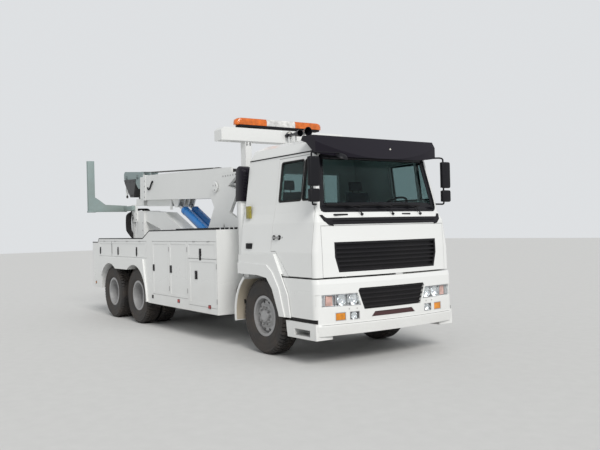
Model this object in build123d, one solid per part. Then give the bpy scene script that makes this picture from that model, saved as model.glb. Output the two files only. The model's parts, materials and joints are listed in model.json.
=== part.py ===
from build123d import *
import os
from math import cos, degrees, hypot, radians, sin

# Heavy recovery truck: tilting cab, three axles, locker body, telescopic boom and rear underlift.
# Millimetres. +X is forward, +Y is the truck's left, +Z is up.
# The model is laid out from the point on the ground below the front axle.
# save() then shifts it, so the origin lies on the ground below the middle of the truck.

os.makedirs("parts", exist_ok=True)

AXLE_TO_MIDDLE = 3160      # front axle, ahead of the middle of the overall length
WHEELBASE = 4600           # front axle to the first rear axle
BOGIE_SPREAD = 1350        # between the two rear axles
FIT = 0.3                  # play where a moving piece rests on its seat
GAP = 5                    # running gap round doors and lids

# Wheels
TYRE_R = 542
TYRE_W = 288
BEAD_R = 262
FRONT_TRACK = 2010
DUAL_IN = 725              # centre of the inner rear tyre, from the middle
DUAL_OUT = 1055            # centre of the outer rear tyre
KINGPIN_Y = 830
HUB_BORE_R = 62

# Chassis
RAIL_Y = 425               # outer face of a rail
RAIL_FLANGE = 80
RAIL_TOP = 1050
RAIL_DEPTH = 300
RAIL_WALL = 10
RAIL_FRONT = 1380
RAIL_REAR = -6960
SUBFRAME_H = 80
DECK_Z = RAIL_TOP + SUBFRAME_H

# Cab
CAB_WALL = 60
CAB_BOTTOM = 1140
CAB_REAR = -500
BUMPER_HALF = 1220         # half the bumper's width; the fenders' plates lie against it
GLASS_DEPTH = 22
GLASS_T = 6
DOOR_SKIN = 20
DOOR_GAP = 8
DOOR_LIP = 20
TILT_X = 1380
TILT_Z = 600

# Body with lockers
SIDE_Y = 1240
SIDE_IN = 680
BODY_FRONT = -1180
ARCH_LINE = 1040           # underside of the body between the two rear wheels
BODY_REAR = -7080
BODY_TOP = 1790
BODY_WALL = 40
LID_T = 25
LID_LIP = 20
ARCH_R = 600
FLARE = 35

# Boom and tower
PIVOT_X = -2860
PIVOT_Z = 2570
BOOM_RISE = 2.1            # degrees that the boom lies up to the rear
BOOM_HALF = 250
BOOM_LOW = -203
BOOM_HIGH = 346
BOOM_FRONT = -430
BOOM_END = 3640
BOOM_PLATE = 16
CHEEK_IN = 270
CHEEK_OUT = 330
CYL_Y = 115
CYL_R = 80
ROD_R = 45
CYL_BASE_X = -2950
CYL_BASE_Z = 1390
EYE_U = 2040
EYE_W = -310


def save(name, *shapes):
    """Write one node: its solids, shifted to the truck's own origin."""
    solids = [s for shape in shapes for s in shape.solids()]
    moved = [s.moved(Location((AXLE_TO_MIDDLE, 0, 0))) for s in solids]
    export_step(Compound(children=moved, label=name), f"parts/{name}.step")


def box(x0, x1, y0, y1, z0, z1):
    """Block between two corners."""
    return Solid.make_box(x1 - x0, y1 - y0, z1 - z0, Plane(origin=(x0, y0, z0)))


def cylinder(p, axis, r, length):
    """Cylinder that starts at p and runs along axis."""
    return Solid.make_cylinder(r, length, Plane(origin=p, z_dir=axis))


def cyl_y(x, z, r, y0, y1):
    """Cylinder across the truck."""
    return cylinder((x, y0, z), (0, 1, 0), r, y1 - y0)


def prism_y(points, y0, y1):
    """Outline of (x, z) points, extruded across the truck."""
    wire = Wire.make_polygon([(x, y0, z) for x, z in points], close=True)
    return Solid.extrude(Face(wire), Vector(0, y1 - y0, 0))


def prism_x(points, x0, x1):
    """Outline of (y, z) points, extruded along the truck."""
    wire = Wire.make_polygon([(x0, y, z) for y, z in points], close=True)
    return Solid.extrude(Face(wire), Vector(x1 - x0, 0, 0))


def fuse(*shapes):
    """One shape of all the given ones."""
    first, *rest = [s for shape in shapes for s in shape.solids()]
    return first.fuse(*rest) if rest else first


def cut(shape, *tools):
    """The shape without its tools."""
    return Part() + shape - [s for tool in tools for s in tool.solids()]


def both(shape):
    """The shape and its mirror image on the other side of the truck."""
    return [shape, shape.mirror(Plane.XZ)]


def ring_part(cx, cz, r0, r1, a0, a1, y0, y1):
    """Part of a flat ring across the truck, between two radii and two angles in degrees."""
    def at(r, a):
        return (cx + r * cos(radians(a)), y0, cz + r * sin(radians(a)))
    middle = (a0 + a1) / 2
    edges = [
        ThreePointArc(at(r1, a0), at(r1, middle), at(r1, a1)).edge(),
        Edge.make_line(at(r1, a1), at(r0, a1)),
        ThreePointArc(at(r0, a1), at(r0, middle), at(r0, a0)).edge(),
        Edge.make_line(at(r0, a0), at(r1, a0)),
    ]
    return Solid.extrude(Face(Wire(edges)), Vector(0, y1 - y0, 0))


# Wheels and tyres

AXLES = {"front": 0, "mid": -WHEELBASE, "rear": -WHEELBASE - BOGIE_SPREAD}


def tyre(x, y):
    """Hollow tyre on its bead seat."""
    w = TYRE_W / 2
    outline = [
        (BEAD_R, -w * 0.80), (BEAD_R + 30, -w * 0.80), (BEAD_R + 60, -w * 0.92), (BEAD_R + 130, -w),
        (TYRE_R - 55, -w * 0.96), (TYRE_R - 12, -w * 0.84), (TYRE_R, -w * 0.70), (TYRE_R, w * 0.70),
        (TYRE_R - 12, w * 0.84), (TYRE_R - 55, w * 0.96), (BEAD_R + 130, w), (BEAD_R + 60, w * 0.92),
        (BEAD_R + 30, w * 0.80), (BEAD_R, w * 0.80),
        (BEAD_R, w * 0.66), (BEAD_R + 110, w * 0.84), (TYRE_R - 42, w * 0.70),
        (TYRE_R - 42, -w * 0.70), (BEAD_R + 110, -w * 0.84), (BEAD_R, -w * 0.66),
    ]
    wire = Wire.make_polygon([(x, y + b, TYRE_R + a) for a, b in outline], close=True)
    return Solid.revolve(Face(wire), 360, Axis((x, y, TYRE_R), (0, 1, 0)))


def turned(x, y, outline):
    """Revolved about a wheel's axle: outline of (radius, distance outboard) points, left side."""
    wire = Wire.make_polygon([(x, y + b, TYRE_R + a) for a, b in outline], close=True)
    return Solid.revolve(Face(wire), 360, Axis((x, y, TYRE_R), (0, 1, 0)))


def rim_barrel(x, y):
    """Rim with two flanges, seen from the tyre's middle plane."""
    w = TYRE_W / 2
    return turned(x, y, [
        (BEAD_R + 28, -w * 0.84), (BEAD_R + 28, -w * 0.80), (BEAD_R, -w * 0.80), (BEAD_R, -w * 0.40),
        (BEAD_R, w * 0.80), (BEAD_R + 28, w * 0.80), (BEAD_R + 28, w * 0.84), (BEAD_R - 10, w * 0.84),
        (BEAD_R - 16, w * 0.40), (BEAD_R - 16, -w * 0.40), (BEAD_R - 10, -w * 0.84),
    ])


def hand_holes(x, y, r, hole_r, count, depth):
    """Round holes through a wheel's disc."""
    angles = [360 * i / count for i in range(count)]
    return [cyl_y(x + r * cos(radians(a)), TYRE_R + r * sin(radians(a)), hole_r, y - depth, y + depth)
            for a in angles]


def front_wheel():
    """Front rim: the disc stands out beyond the tyre's middle, with its hub cap."""
    x, y = AXLES["front"], FRONT_TRACK / 2
    disc = turned(x, y, [
        (HUB_BORE_R, 30), (120, 30), (170, 62), (205, 62), (BEAD_R - 14, 20), (BEAD_R - 14, 36),
        (212, 76), (168, 76), (150, 96), (95, 96), (80, 128), (HUB_BORE_R, 128),
    ])
    cap = cyl_y(x, TYRE_R, HUB_BORE_R, y + 100, y + 132)
    return cut(fuse(rim_barrel(x, y), disc, cap), *hand_holes(x, y + 60, 206, 24, 10, 60))


def rear_wheel(x):
    """Twin rims bolted disc to disc, with the hub's drum face standing out of the dish."""
    inner = rim_barrel(x, DUAL_IN)
    outer = rim_barrel(x, DUAL_OUT)
    middle = (DUAL_IN + DUAL_OUT) / 2
    disc = turned(x, middle, [
        (HUB_BORE_R, -14), (170, -14), (190, -30), (BEAD_R - 14, -110), (BEAD_R - 14, -92),
        (196, -14), (196, 14), (BEAD_R - 14, 92), (BEAD_R - 14, 110), (190, 30), (170, 14), (150, 20),
        (128, 60), (128, 118), (112, 130), (HUB_BORE_R, 130),
    ])
    cap = cyl_y(x, TYRE_R, HUB_BORE_R, middle + 100, middle + 140)
    return cut(fuse(inner, outer, disc, cap), *hand_holes(x, middle, 226, 20, 8, 150))


def wheels():
    """Wheel and tyre nodes, one pair for each end of each axle."""
    front_tyre = tyre(AXLES["front"], FRONT_TRACK / 2)
    for name, wheel, tyres in [
        ("front", front_wheel(), [front_tyre]),
        ("mid", rear_wheel(AXLES["mid"]), [tyre(AXLES["mid"], y) for y in (DUAL_IN, DUAL_OUT)]),
        ("rear", rear_wheel(AXLES["rear"]), [tyre(AXLES["rear"], y) for y in (DUAL_IN, DUAL_OUT)]),
    ]:
        save(f"wheel_{name}_left", wheel)
        save(f"tyre_{name}_left", *tyres)
        save(f"wheel_{name}_right", wheel.mirror(Plane.XZ))
        save(f"tyre_{name}_right", *[t.mirror(Plane.XZ) for t in tyres])


# Chassis, axles and engine

def rail():
    """Left frame rail, a channel open to the inside, with the body's subframe on it."""
    outer = box(RAIL_REAR, RAIL_FRONT, RAIL_Y - RAIL_FLANGE, RAIL_Y, RAIL_TOP - RAIL_DEPTH, RAIL_TOP)
    hollow = box(RAIL_REAR - 1, RAIL_FRONT + 1, RAIL_Y - RAIL_FLANGE - 1, RAIL_Y - RAIL_WALL,
                 RAIL_TOP - RAIL_DEPTH + RAIL_WALL, RAIL_TOP - RAIL_WALL)
    subframe = box(RAIL_REAR, -1100, RAIL_Y - RAIL_FLANGE, RAIL_Y, RAIL_TOP, DECK_Z)
    return fuse(cut(outer, hollow), subframe)


SPRING_Y = 430             # inner face of a front spring, against the rail's outer face
SPRING_W = 90
SPRING_HALF = 800          # half the front spring's length
LEAF = 14
FRONT_LEAVES = [800, 720, 600, 470, 330, 200]
BOGIE_LEAVES = [690, 600, 500, 400, 300, 200]
BOGIE_X = -WHEELBASE - BOGIE_SPREAD / 2


def leaf_pack(x, z, radius, leaves, upward):
    """Stack of curved leaves, concentric; z is the main leaf's height at its middle."""
    side = 1 if upward else -1
    centre = z + side * radius
    pack = []
    for i, half in enumerate(leaves):
        r0 = radius + i * LEAF
        spread = degrees(half / radius)
        middle = -90 if upward else 90
        pack.append(ring_part(x, centre, r0, r0 + LEAF, middle - spread, middle + spread,
                              SPRING_Y, SPRING_Y + SPRING_W))
    return fuse(*pack)


FRONT_SPRING_R = 4600
FRONT_SPRING_Z = 600
BOGIE_SPRING_R = 3000
BOGIE_SPRING_Z = 800
BEAM_Z = 430               # middle of the front axle beam between the springs
HANGER_W = 60


def front_axle():
    """Dropped beam with its springs, shackles and kingpin eyes."""
    spring = leaf_pack(0, FRONT_SPRING_Z, FRONT_SPRING_R, FRONT_LEAVES, True)
    pack_bottom = FRONT_SPRING_Z - LEAF * (len(FRONT_LEAVES) - 1)
    half = prism_x([
        (0, BEAM_Z - 45), (SPRING_Y + SPRING_W + 40, BEAM_Z - 45), (KINGPIN_Y - 60, TYRE_R - 60),
        (KINGPIN_Y, TYRE_R - 60), (KINGPIN_Y, TYRE_R + 60), (KINGPIN_Y - 80, TYRE_R + 60),
        (SPRING_Y + SPRING_W + 10, pack_bottom), (SPRING_Y - 20, pack_bottom),
        (SPRING_Y - 60, BEAM_Z + 45), (0, BEAM_Z + 45)], -45, 45)
    eye = cylinder((0, KINGPIN_Y, TYRE_R - 60), (0, 0, 1), 50, 120)
    pin = cylinder((0, KINGPIN_Y, TYRE_R - 110), (0, 0, 1), 25 - FIT / 10, 220)
    end_z = FRONT_SPRING_Z + FRONT_SPRING_R * (1 - cos(SPRING_HALF / FRONT_SPRING_R))
    rail_under = RAIL_TOP - RAIL_DEPTH
    hangers = [box(x - HANGER_W / 2, x + HANGER_W / 2, RAIL_Y - RAIL_FLANGE, SPRING_Y + SPRING_W,
                   end_z - 40, rail_under) for x in (-SPRING_HALF + 20, SPRING_HALF - 20)]
    left = fuse(half, eye, pin, spring, *hangers)
    return fuse(*both(left))


HOUSING_R = 75
DIFF_R = 215


def rear_axles():
    """Two driven axles with the bogie's springs, trunnion and the shaft between them."""
    pieces = []
    for x in (AXLES["mid"], AXLES["rear"]):
        pieces.append(cyl_y(x, TYRE_R, HOUSING_R, -540, 540))
        pieces.append(cyl_y(x, TYRE_R, HUB_BORE_R - FIT / 6, -DUAL_OUT + 80, DUAL_OUT - 80))
        pieces.append(Solid.make_sphere(DIFF_R, Plane(origin=(x, 0, TYRE_R))))
        pieces.append(Solid.make_cone(70, 150, 160, Plane(origin=(x + 330, 0, TYRE_R + 60),
                                                         z_dir=(-1, 0, 0))))
        for y in (-SPRING_Y - SPRING_W, SPRING_Y):
            pieces.append(box(x - 60, x + 60, y, y + SPRING_W, TYRE_R + 20, 720))
    pieces += both(leaf_pack(BOGIE_X, BOGIE_SPRING_Z - 84, BOGIE_SPRING_R, BOGIE_LEAVES, False))
    saddle = box(BOGIE_X - 130, BOGIE_X + 130, RAIL_Y, SPRING_Y + SPRING_W, BOGIE_SPRING_Z - LEAF, 1000)
    pieces += both(saddle)
    pieces.append(cylinder((AXLES["rear"], 0, TYRE_R + 60), (1, 0, 0), 48, BOGIE_SPREAD))
    return fuse(*pieces)


ENGINE_REAR = -250
ENGINE_FRONT = 850
GEARBOX_REAR = -1050


def powertrain():
    """Engine as one block, the gearbox and the shaft to the first rear axle."""
    engine = box(ENGINE_REAR, ENGINE_FRONT, -320, 320, 640, 1450)
    gearbox = box(GEARBOX_REAR, ENGINE_REAR, -200, 200, 660, 1040)
    start = Vector(GEARBOX_REAR + 5, 0, 780)
    end = Vector(AXLES["mid"] + 340, 0, TYRE_R + 60)
    run = end - start
    shaft = cylinder(tuple(start), tuple(run), 50, run.length)
    return fuse(engine, gearbox, shaft)


def chassis_frame():
    """Ladder frame: two rails, crossmembers and the engine's brackets."""
    members = [box(x - 40, x + 40, -RAIL_Y + RAIL_WALL, RAIL_Y - RAIL_WALL, RAIL_TOP - 210, RAIL_TOP - 60)
               for x in (RAIL_FRONT - 40, -1300, -2200, -3100, -4000, BOGIE_X, MAST_X[1] + 60)]
    engine_feet = [box(x - 50, x + 50, 320, RAIL_Y - RAIL_WALL, 860, 960) for x in (0, 600)]
    tilt_lug = cut(box(TILT_X - 60, TILT_X + 40, 350, RAIL_Y, TILT_Z - 60, RAIL_TOP - RAIL_DEPTH),
                   cyl_y(TILT_X, TILT_Z, 25, 340, RAIL_Y + 10))
    tank = cyl_y(-990, 780, 140, RAIL_Y, RAIL_Y + 520)
    return fuse(*both(rail()), *members, *both(tilt_lug), *both(tank),
                *[p for foot in engine_feet for p in both(foot)])


def knuckle():
    """Left steering knuckle: fork on the kingpin, stub axle and steering arm."""
    fork = [cylinder((0, KINGPIN_Y, z), (0, 0, 1), 50, 45) for z in (TYRE_R - 106, TYRE_R + 61)]
    back = box(-50, 50, KINGPIN_Y + 51, KINGPIN_Y + 85, TYRE_R - 106, TYRE_R + 106)
    arms = [box(-50, 50, KINGPIN_Y, KINGPIN_Y + 60, z, z + 45) for z in (TYRE_R - 106, TYRE_R + 61)]
    stub = cyl_y(0, TYRE_R, HUB_BORE_R - FIT / 6, KINGPIN_Y + 84, FRONT_TRACK / 2 + 90)
    arm = box(-190, -20, KINGPIN_Y + 40, KINGPIN_Y + 70, TYRE_R - 106, TYRE_R - 70)
    bore = cylinder((0, KINGPIN_Y, TYRE_R - 120), (0, 0, 1), 25, 240)
    return cut(fuse(*fork, back, *arms, stub, arm), bore)


# Cab

# Sections of the cab, from the bottom up: height, front, sweep of the front's ends, half width,
# front corner radius, rear
CAB_SECTIONS = [
    (1140, 1460, 95, 1200, 70, -500),
    (1460, 1452, 95, 1200, 70, -500),
    (1850, 1432, 90, 1152, 75, -500),
    (1985, 1352, 80, 1120, 65, -500),
    (2120, 1336, 78, 1096, 62, -500),
    (2780, 1190, 66, 1004, 62, -492),
    (2930, 1090, 60, 950, 90, -430),
    (2990, 940, 50, 850, 90, -290),
]


def cab_section(z, front, sweep, half, corner, rear):
    """Outline of the cab at one height: bowed front, rounded front corners."""
    x_end = front - sweep
    bow = Edge.make_three_point_arc((x_end, -half, z), (front, 0, z), (x_end, half, z))
    rear_line = Edge.make_line((rear, half, z), (rear, -half, z))
    sides = [Edge.make_line((x_end, half, z), (rear, half, z)),
             Edge.make_line((rear, -half, z), (x_end, -half, z))]
    face = Face(Wire([bow, sides[0], rear_line, sides[1]]))
    corners = face.vertices().sort_by(Axis.X)[-2:]
    return face.fillet_2d(corner, corners).outer_wire()


def cab_solid(inset, floor=-1):
    """The cab's outside set in by a depth; floor is how far its underside is raised."""
    wires = []
    for i, (z, front, sweep, half, corner, rear) in enumerate(CAB_SECTIONS):
        level = z
        if i == 0:
            level = z + floor
        if i >= len(CAB_SECTIONS) - 2:
            level = z - inset
        wires.append(cab_section(level, front - inset, sweep, half - inset, corner - inset * 0.6,
                                 rear + inset))
    return Solid.make_loft(wires, ruled=True)


CAB_OUTER = cab_solid(0, 0)
CAB_INNER = cab_solid(CAB_WALL, CAB_WALL)
SKIN_INNER = cab_solid(DOOR_SKIN)
GLASS_LAYER = cut(cab_solid(GLASS_DEPTH), cab_solid(GLASS_DEPTH + GLASS_T))

DOOR_FRONT = 1290
DOOR_REAR = 330
DOOR_TOP = 2745
HINGE_RELIEF = (1540, 2320)    # the jamb has no lip at the hinges between these heights
DOOR_OUTLINE = [
    (DOOR_FRONT, CAB_BOTTOM + 8), (DOOR_FRONT, 1850), (1255, 1985), (1090, DOOR_TOP), (DOOR_REAR, DOOR_TOP),
    (DOOR_REAR, 1475), (450, 1475), (760, CAB_BOTTOM + 8),
]
WINDOW_LOW = 2150
WINDOW_HIGH = 2690
QUARTER_X = 950            # divider between the quarter light and the window
DIVIDER = 30
PANES = [
    [(QUARTER_X - DIVIDER / 2, WINDOW_LOW), (QUARTER_X - DIVIDER / 2, WINDOW_HIGH), (400, WINDOW_HIGH),
     (400, WINDOW_LOW)],
    [(1165, WINDOW_LOW), (1045, WINDOW_HIGH), (QUARTER_X + DIVIDER / 2, WINDOW_HIGH),
     (QUARTER_X + DIVIDER / 2, WINDOW_LOW)],
]
ARCH_OUTLINE = [
    (CAB_REAR - 20, CAB_BOTTOM - 20), (CAB_REAR - 20, 1305), (190, 1305), (390, 1189), (430, CAB_BOTTOM - 20),
]
WELL_IN = 640              # inner side of the wheel's well
TUNNEL_HALF = 380
TUNNEL_TOP = 1520
TUNNEL_FRONT = 980
FLAP_HALF = 1085
FLAP_TOP = 1800
FLAP_LOW = CAB_BOTTOM + 4
FLAP_T = 30
SCREEN_LOW = 1995
SCREEN_HIGH = 2740
SCREEN_HALF = 1025
SCREEN_TOP_HALF = 925
DOOR_IN = 900              # the doors' cuts reach in to here, from outside
GRILLE_OUTLINE = [(-850, 1200), (850, 1200), (905, 1400), (905, 1590), (-905, 1590), (-905, 1400)]


def grown(points, d):
    """Outline moved out by d on every side; a negative d moves it in."""
    face = Face(Wire.make_polygon([(x, z, 0) for x, z in points], close=True))
    wire = face.outer_wire().offset_2d(d, kind=Kind.INTERSECTION)
    corners = [e.start_point() for e in wire.order_edges()]
    return [(p.X, p.Y) for p in corners]


def side_prism(points):
    """Outline of (x, z) points through the left side of the cab."""
    return prism_y(points, DOOR_IN, 1300)


def front_prism(points):
    """Outline of (y, z) points through the cab's front."""
    return prism_x(points, 900, 1600)


def cab_door():
    """Left door: outer skin that covers the jamb's step, and the deeper pan inside it."""
    skin = (CAB_OUTER - SKIN_INNER) & side_prism(DOOR_OUTLINE)
    pan_layer = cab_solid(DOOR_SKIN) - cab_solid(CAB_WALL)
    pan = pan_layer & side_prism(grown(DOOR_OUTLINE, -DOOR_LIP - 15))
    body = fuse(*skin.solids(), *pan.solids())
    return cut(body, *[side_prism(pane) for pane in PANES])


def door_glass():
    """Left door's window in two panes, the main one and the quarter light."""
    return [s for pane in PANES for s in (GLASS_LAYER & side_prism(pane)).solids()]


def doorway():
    """What is cut from the cab for the left door."""
    wide = side_prism(grown(DOOR_OUTLINE, DOOR_GAP))
    step = (CAB_OUTER - cab_solid(DOOR_SKIN + FIT)) & wide
    hole = side_prism(grown(DOOR_OUTLINE, -DOOR_LIP))
    relief = wide & box(DOOR_FRONT - 110, DOOR_FRONT + 30, DOOR_IN, 1300, *HINGE_RELIEF)
    return fuse(*step.solids(), hole, *relief.solids())


SCREEN_OUTLINE = [(-SCREEN_HALF, SCREEN_LOW), (SCREEN_HALF, SCREEN_LOW), (SCREEN_TOP_HALF, SCREEN_HIGH),
                  (-SCREEN_TOP_HALF, SCREEN_HIGH)]
REAR_WINDOW = [(-620, 2180), (620, 2180), (620, 2620), (-620, 2620)]
FLAP_OUTLINE = [(-FLAP_HALF, FLAP_LOW), (FLAP_HALF, FLAP_LOW), (FLAP_HALF, FLAP_TOP),
                (-FLAP_HALF, FLAP_TOP)]


def cab_shell():
    """Cab with floor, engine tunnel, wheel wells and all openings."""
    well_outer = prism_y([(x + (25 if x > 0 else 0), z + (30 if z > 1200 else 0))
                          for x, z in ARCH_OUTLINE], WELL_IN - 30, 1300)
    tunnel_outer = box(CAB_REAR, TUNNEL_FRONT + 30, -TUNNEL_HALF - 30, TUNNEL_HALF + 30,
                       1100, TUNNEL_TOP + 30)
    room = cut(CAB_INNER, tunnel_outer, *both(well_outer))
    well = prism_y(ARCH_OUTLINE, WELL_IN, 1300)
    tunnel = box(CAB_REAR + CAB_WALL, TUNNEL_FRONT, -TUNNEL_HALF, TUNNEL_HALF, 1100, TUNNEL_TOP)
    hole_inset = 25
    wide = FLAP_HALF + GAP
    narrow = FLAP_HALF - hole_inset
    flap_step = (CAB_OUTER - cab_solid(FLAP_T + FIT)) & front_prism(
        [(-wide, 1000), (wide, 1000), (wide, FLAP_TOP + GAP), (-wide, FLAP_TOP + GAP)])
    flap_hole = front_prism([(-narrow, 1200), (narrow, 1200), (narrow, FLAP_TOP - hole_inset),
                             (-narrow, FLAP_TOP - hole_inset)])
    bulkhead = box(1150, 1180, -1130, 1130, 1180, 1800) & CAB_INNER
    shell = cut(CAB_OUTER, room, *both(well), tunnel, *both(doorway()), flap_step, flap_hole,
                front_prism(SCREEN_OUTLINE), prism_x(REAR_WINDOW, CAB_REAR - 10, CAB_REAR + 200))
    return fuse(*shell.solids(), *bulkhead.solids(), *both(tilt_ear()), *both(fender()))


KNEE_X = TILT_X - 377      # knee of the tilt arms, behind the bumper's upper edge
KNEE_Z = TILT_Z + 391
TILT_ARM_HALF = 30


def tilt_ear():
    """Left cranked arm below the cab's floor that turns on the chassis's tilt lug."""
    run = hypot(TILT_X - KNEE_X, KNEE_Z - TILT_Z)
    dx = TILT_ARM_HALF * (KNEE_Z - TILT_Z) / run
    dz = TILT_ARM_HALF * (TILT_X - KNEE_X) / run
    arm = prism_y([
        (TILT_X + dx, TILT_Z + dz), (KNEE_X + TILT_ARM_HALF, KNEE_Z + TILT_ARM_HALF / 2),
        (KNEE_X + TILT_ARM_HALF, CAB_BOTTOM + 10), (KNEE_X - TILT_ARM_HALF, CAB_BOTTOM + 10),
        (KNEE_X - TILT_ARM_HALF, KNEE_Z - TILT_ARM_HALF / 2), (TILT_X - dx, TILT_Z - dz),
    ], RAIL_Y + FIT, RAIL_Y + 40)
    eye = cyl_y(TILT_X, TILT_Z, 40, RAIL_Y + FIT, RAIL_Y + 40)
    pin = cyl_y(TILT_X, TILT_Z, 25 - FIT / 6, 350, RAIL_Y + 30)
    return fuse(arm, eye, pin)


# Front fenders: their lines go from the arch's rear over its top to its front foot
FENDER_ARCH = [(-500, 1140), (60, 1135), (290, 1105), (430, 960), (570, 660), (590, 600)]
FENDER_STEP = [(725, 600), (590, 980), (430, 1190), (290, 1285), (-500, 1300)]
FENDER_EDGE = [(835, 600), (782, 896), (450, 1438), (-500, 1418)]
FENDER_ROOT = [(-500, 1165), (-500, 1415), (450, 1435), (615, 1165)]
FENDER_T = 19
FENDER_LIP = 36


def fender():
    """Left fender over the front wheel: a flat band with a raised lip round the arch."""
    y = BUMPER_HALF + 6
    band = prism_y(FENDER_ARCH + FENDER_EDGE, y, y + FENDER_T)
    lip = prism_y(FENDER_ARCH + FENDER_STEP, y, y + FENDER_LIP)
    root = prism_y(FENDER_ROOT, 1180, y + 1)
    return fuse(band, lip, root)


def cab_glass():
    """Windscreen and rear window."""
    layer = GLASS_LAYER.solids()
    screen = [s & front_prism(SCREEN_OUTLINE) for s in layer]
    rear = [s & prism_x(REAR_WINDOW, CAB_REAR - 10, CAB_REAR + 200) for s in layer]
    return [s for part in screen + rear for s in part.solids()]


def front_flap():
    """Panel below the windscreen that swings up, with the opening for the grille."""
    layer = CAB_OUTER - cab_solid(FLAP_T)
    panel = layer & front_prism(FLAP_OUTLINE)
    return cut(panel, front_prism(GRILLE_OUTLINE))


SLATS = 5
SLAT_T = 18


def upper_grille():
    """Frame, slats and mesh plate, bowed like the panel round it."""
    low = GRILLE_OUTLINE[0][1]
    high = GRILLE_OUTLINE[3][1]
    opening = front_prism(GRILLE_OUTLINE)
    inner = front_prism(grown(GRILLE_OUTLINE, -28))
    frame = (cab_solid(2) - cab_solid(44)) & opening
    rim = cut(frame, inner)
    mesh = (cab_solid(38) - cab_solid(44)) & opening
    pitch = (high - low - 56) / (SLATS + 1)
    slats = []
    for i in range(1, SLATS + 1):
        z = low + 28 + pitch * i
        slab = (cab_solid(8) - cab_solid(38)) & box(900, 1600, -950, 950, z - SLAT_T / 2, z + SLAT_T / 2)
        slats += (slab & opening).solids()
    return fuse(*rim.solids(), *mesh.solids(), *slats)


def sun_visor():
    """Deep visor over the windscreen, on two end plates that meet the roof's sides."""
    outer = prism_y([(1395, 2690), (1215, 2985), (980, 2995), (940, 2940), (1060, 2900), (1195, 2785),
                     (1340, 2700)], -1075, 1075)
    bow = cylinder((-3200, 0, 2500), (0, 0, 1), 4595, 700)
    return cut(outer & bow, CAB_OUTER)


MIRROR_X = 1320            # front of the doors' sweep
MIRROR_Y = 1180


def mirrors():
    """Mirror heads on tube arms that meet the front pillars, both sides."""
    head = box(MIRROR_X + 10, MIRROR_X + 75, MIRROR_Y - 85, MIRROR_Y + 85, 2310, 2690)
    wide = box(MIRROR_X + 10, MIRROR_X + 75, MIRROR_Y - 85, MIRROR_Y + 85, 2110, 2280)
    post = cylinder((MIRROR_X, MIRROR_Y, 2070), (0, 0, 1), 12, 690)
    arms = []
    for z, y, x in ((2085, 1050, 1230), (2745, 950, 1110)):
        start = Vector(MIRROR_X, MIRROR_Y, z)
        run = Vector(x, y, z) - start
        arm = cut(cylinder(tuple(start), tuple(run), 12, run.length), CAB_OUTER)
        arms.append(max(arm.solids(), key=lambda s: s.center().Y))
    return both(fuse(head, wide, post, *arms))


def cab_interior():
    """Dashboard with steering wheel, and the seats."""
    dash = (box(980, 1150, -1000, 1000, 1780, 2020) & CAB_INNER).solids()
    column = cylinder((1000, 620, 1850), (-0.6, 0, 0.8), 35, 260)
    wheel = Solid.make_torus(220, 16, Plane(origin=(844, 620, 2058), z_dir=(-0.6, 0, 0.8)))
    hub = cylinder((856, 620, 2042), (-0.6, 0, 0.8), 60, 30)
    spokes = cylinder((844, 400, 2058), (0, 1, 0), 14, 440)
    seats = []
    for y, half in ((645, 225), (-645, 225)):
        base = box(60, 480, y - half, y + half, 1335, 1560)
        cushion = box(20, 520, y - half, y + half, 1560, 1680)
        back = prism_y([(20, 1680), (150, 1680), (30, 2330), (-90, 2330)], y - half, y + half)
        seats.append(fuse(base, cushion, back))
    return [fuse(*dash, column, hub, spokes, wheel), *seats]


# Bumper, lamps, steps and guards

BUMPER_TOP = 1122
BUMPER_LOW = 400
BUMPER_WALL = 40
STEP_TOP = 560
STEP_GAP = 52              # dark gap between a step box and the panel above it


def bumper_solid(inset):
    """Bumper's outside, or the same form set in."""
    sections = [(BUMPER_LOW, 1495), (525, 1512), (560, 1500), (1060, 1497), (BUMPER_TOP, 1480)]
    wires = [cab_section(z, front - inset, 110, BUMPER_HALF - inset, 90 - inset * 0.6, 560)
             for z, front in sections]
    return Solid.make_loft(wires, ruled=True)


BUMPER_OUTER = bumper_solid(0)
BUMPER_INNER = bumper_solid(BUMPER_WALL)
LAMP_OUTLINE = [(555, 765), (1205, 775), (1205, 925), (605, 925)]
FOGS = [(580, 730), (790, 945)]
LOWER_GRILLE = [(-500, 705), (500, 705), (590, 950), (570, 985), (-570, 985), (-590, 950)]


def bumper():
    """Bumper with its corner panels and the step boxes below the doors."""
    shell = cut(BUMPER_OUTER, BUMPER_INNER)
    arch = prism_y([(500, 300), (735, 300), (690, 640), (640, 951), (500, 1160), (500, 1300)], -1300, 1300)
    lamp_holes = both(front_prism(LAMP_OUTLINE))
    fog_holes = [p for y0, y1 in FOGS for p in both(box(1200, 1600, y0, y1, 585, 690))]
    slot = front_prism([(-390, 600), (390, 600), (330, 665), (-330, 665)])
    sill = box(700, 1600, -1300, 1300, 300, BUMPER_LOW)
    back = box(500, 1100, -900, 900, 300, 1200)
    shell = cut(shell, arch, *lamp_holes, *fog_holes, slot, front_prism(LOWER_GRILLE), sill, back)
    gaps = both(box(500, 1385, BUMPER_HALF - 70, 1300, STEP_TOP, STEP_TOP + STEP_GAP))
    step = prism_y([(735, 345), (1385, 350), (1378, STEP_TOP), (700, STEP_TOP)], 960, BUMPER_HALF)
    treads = both(box(900, 1250, 1010, 1300, 385, 470))
    brackets = both(box(RAIL_FRONT, 1480, RAIL_Y - RAIL_FLANGE, RAIL_Y, 1000, RAIL_TOP - 5))
    keepers = [p for b in brackets for p in (b & BUMPER_OUTER).solids()]
    front = fuse(*cut(shell, *gaps).solids(), *both(step), *keepers)
    return cut(front, *treads)


def front_lamps():
    """Headlamps at the corners and the fog lamps below them."""
    layer = bumper_solid(4) - bumper_solid(70)
    shapes = both(front_prism(LAMP_OUTLINE))
    for y0, y1 in FOGS:
        shapes += both(box(1200, 1600, y0, y1, 585, 690))
    return [s for p in shapes for s in (layer & p).solids()]


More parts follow.
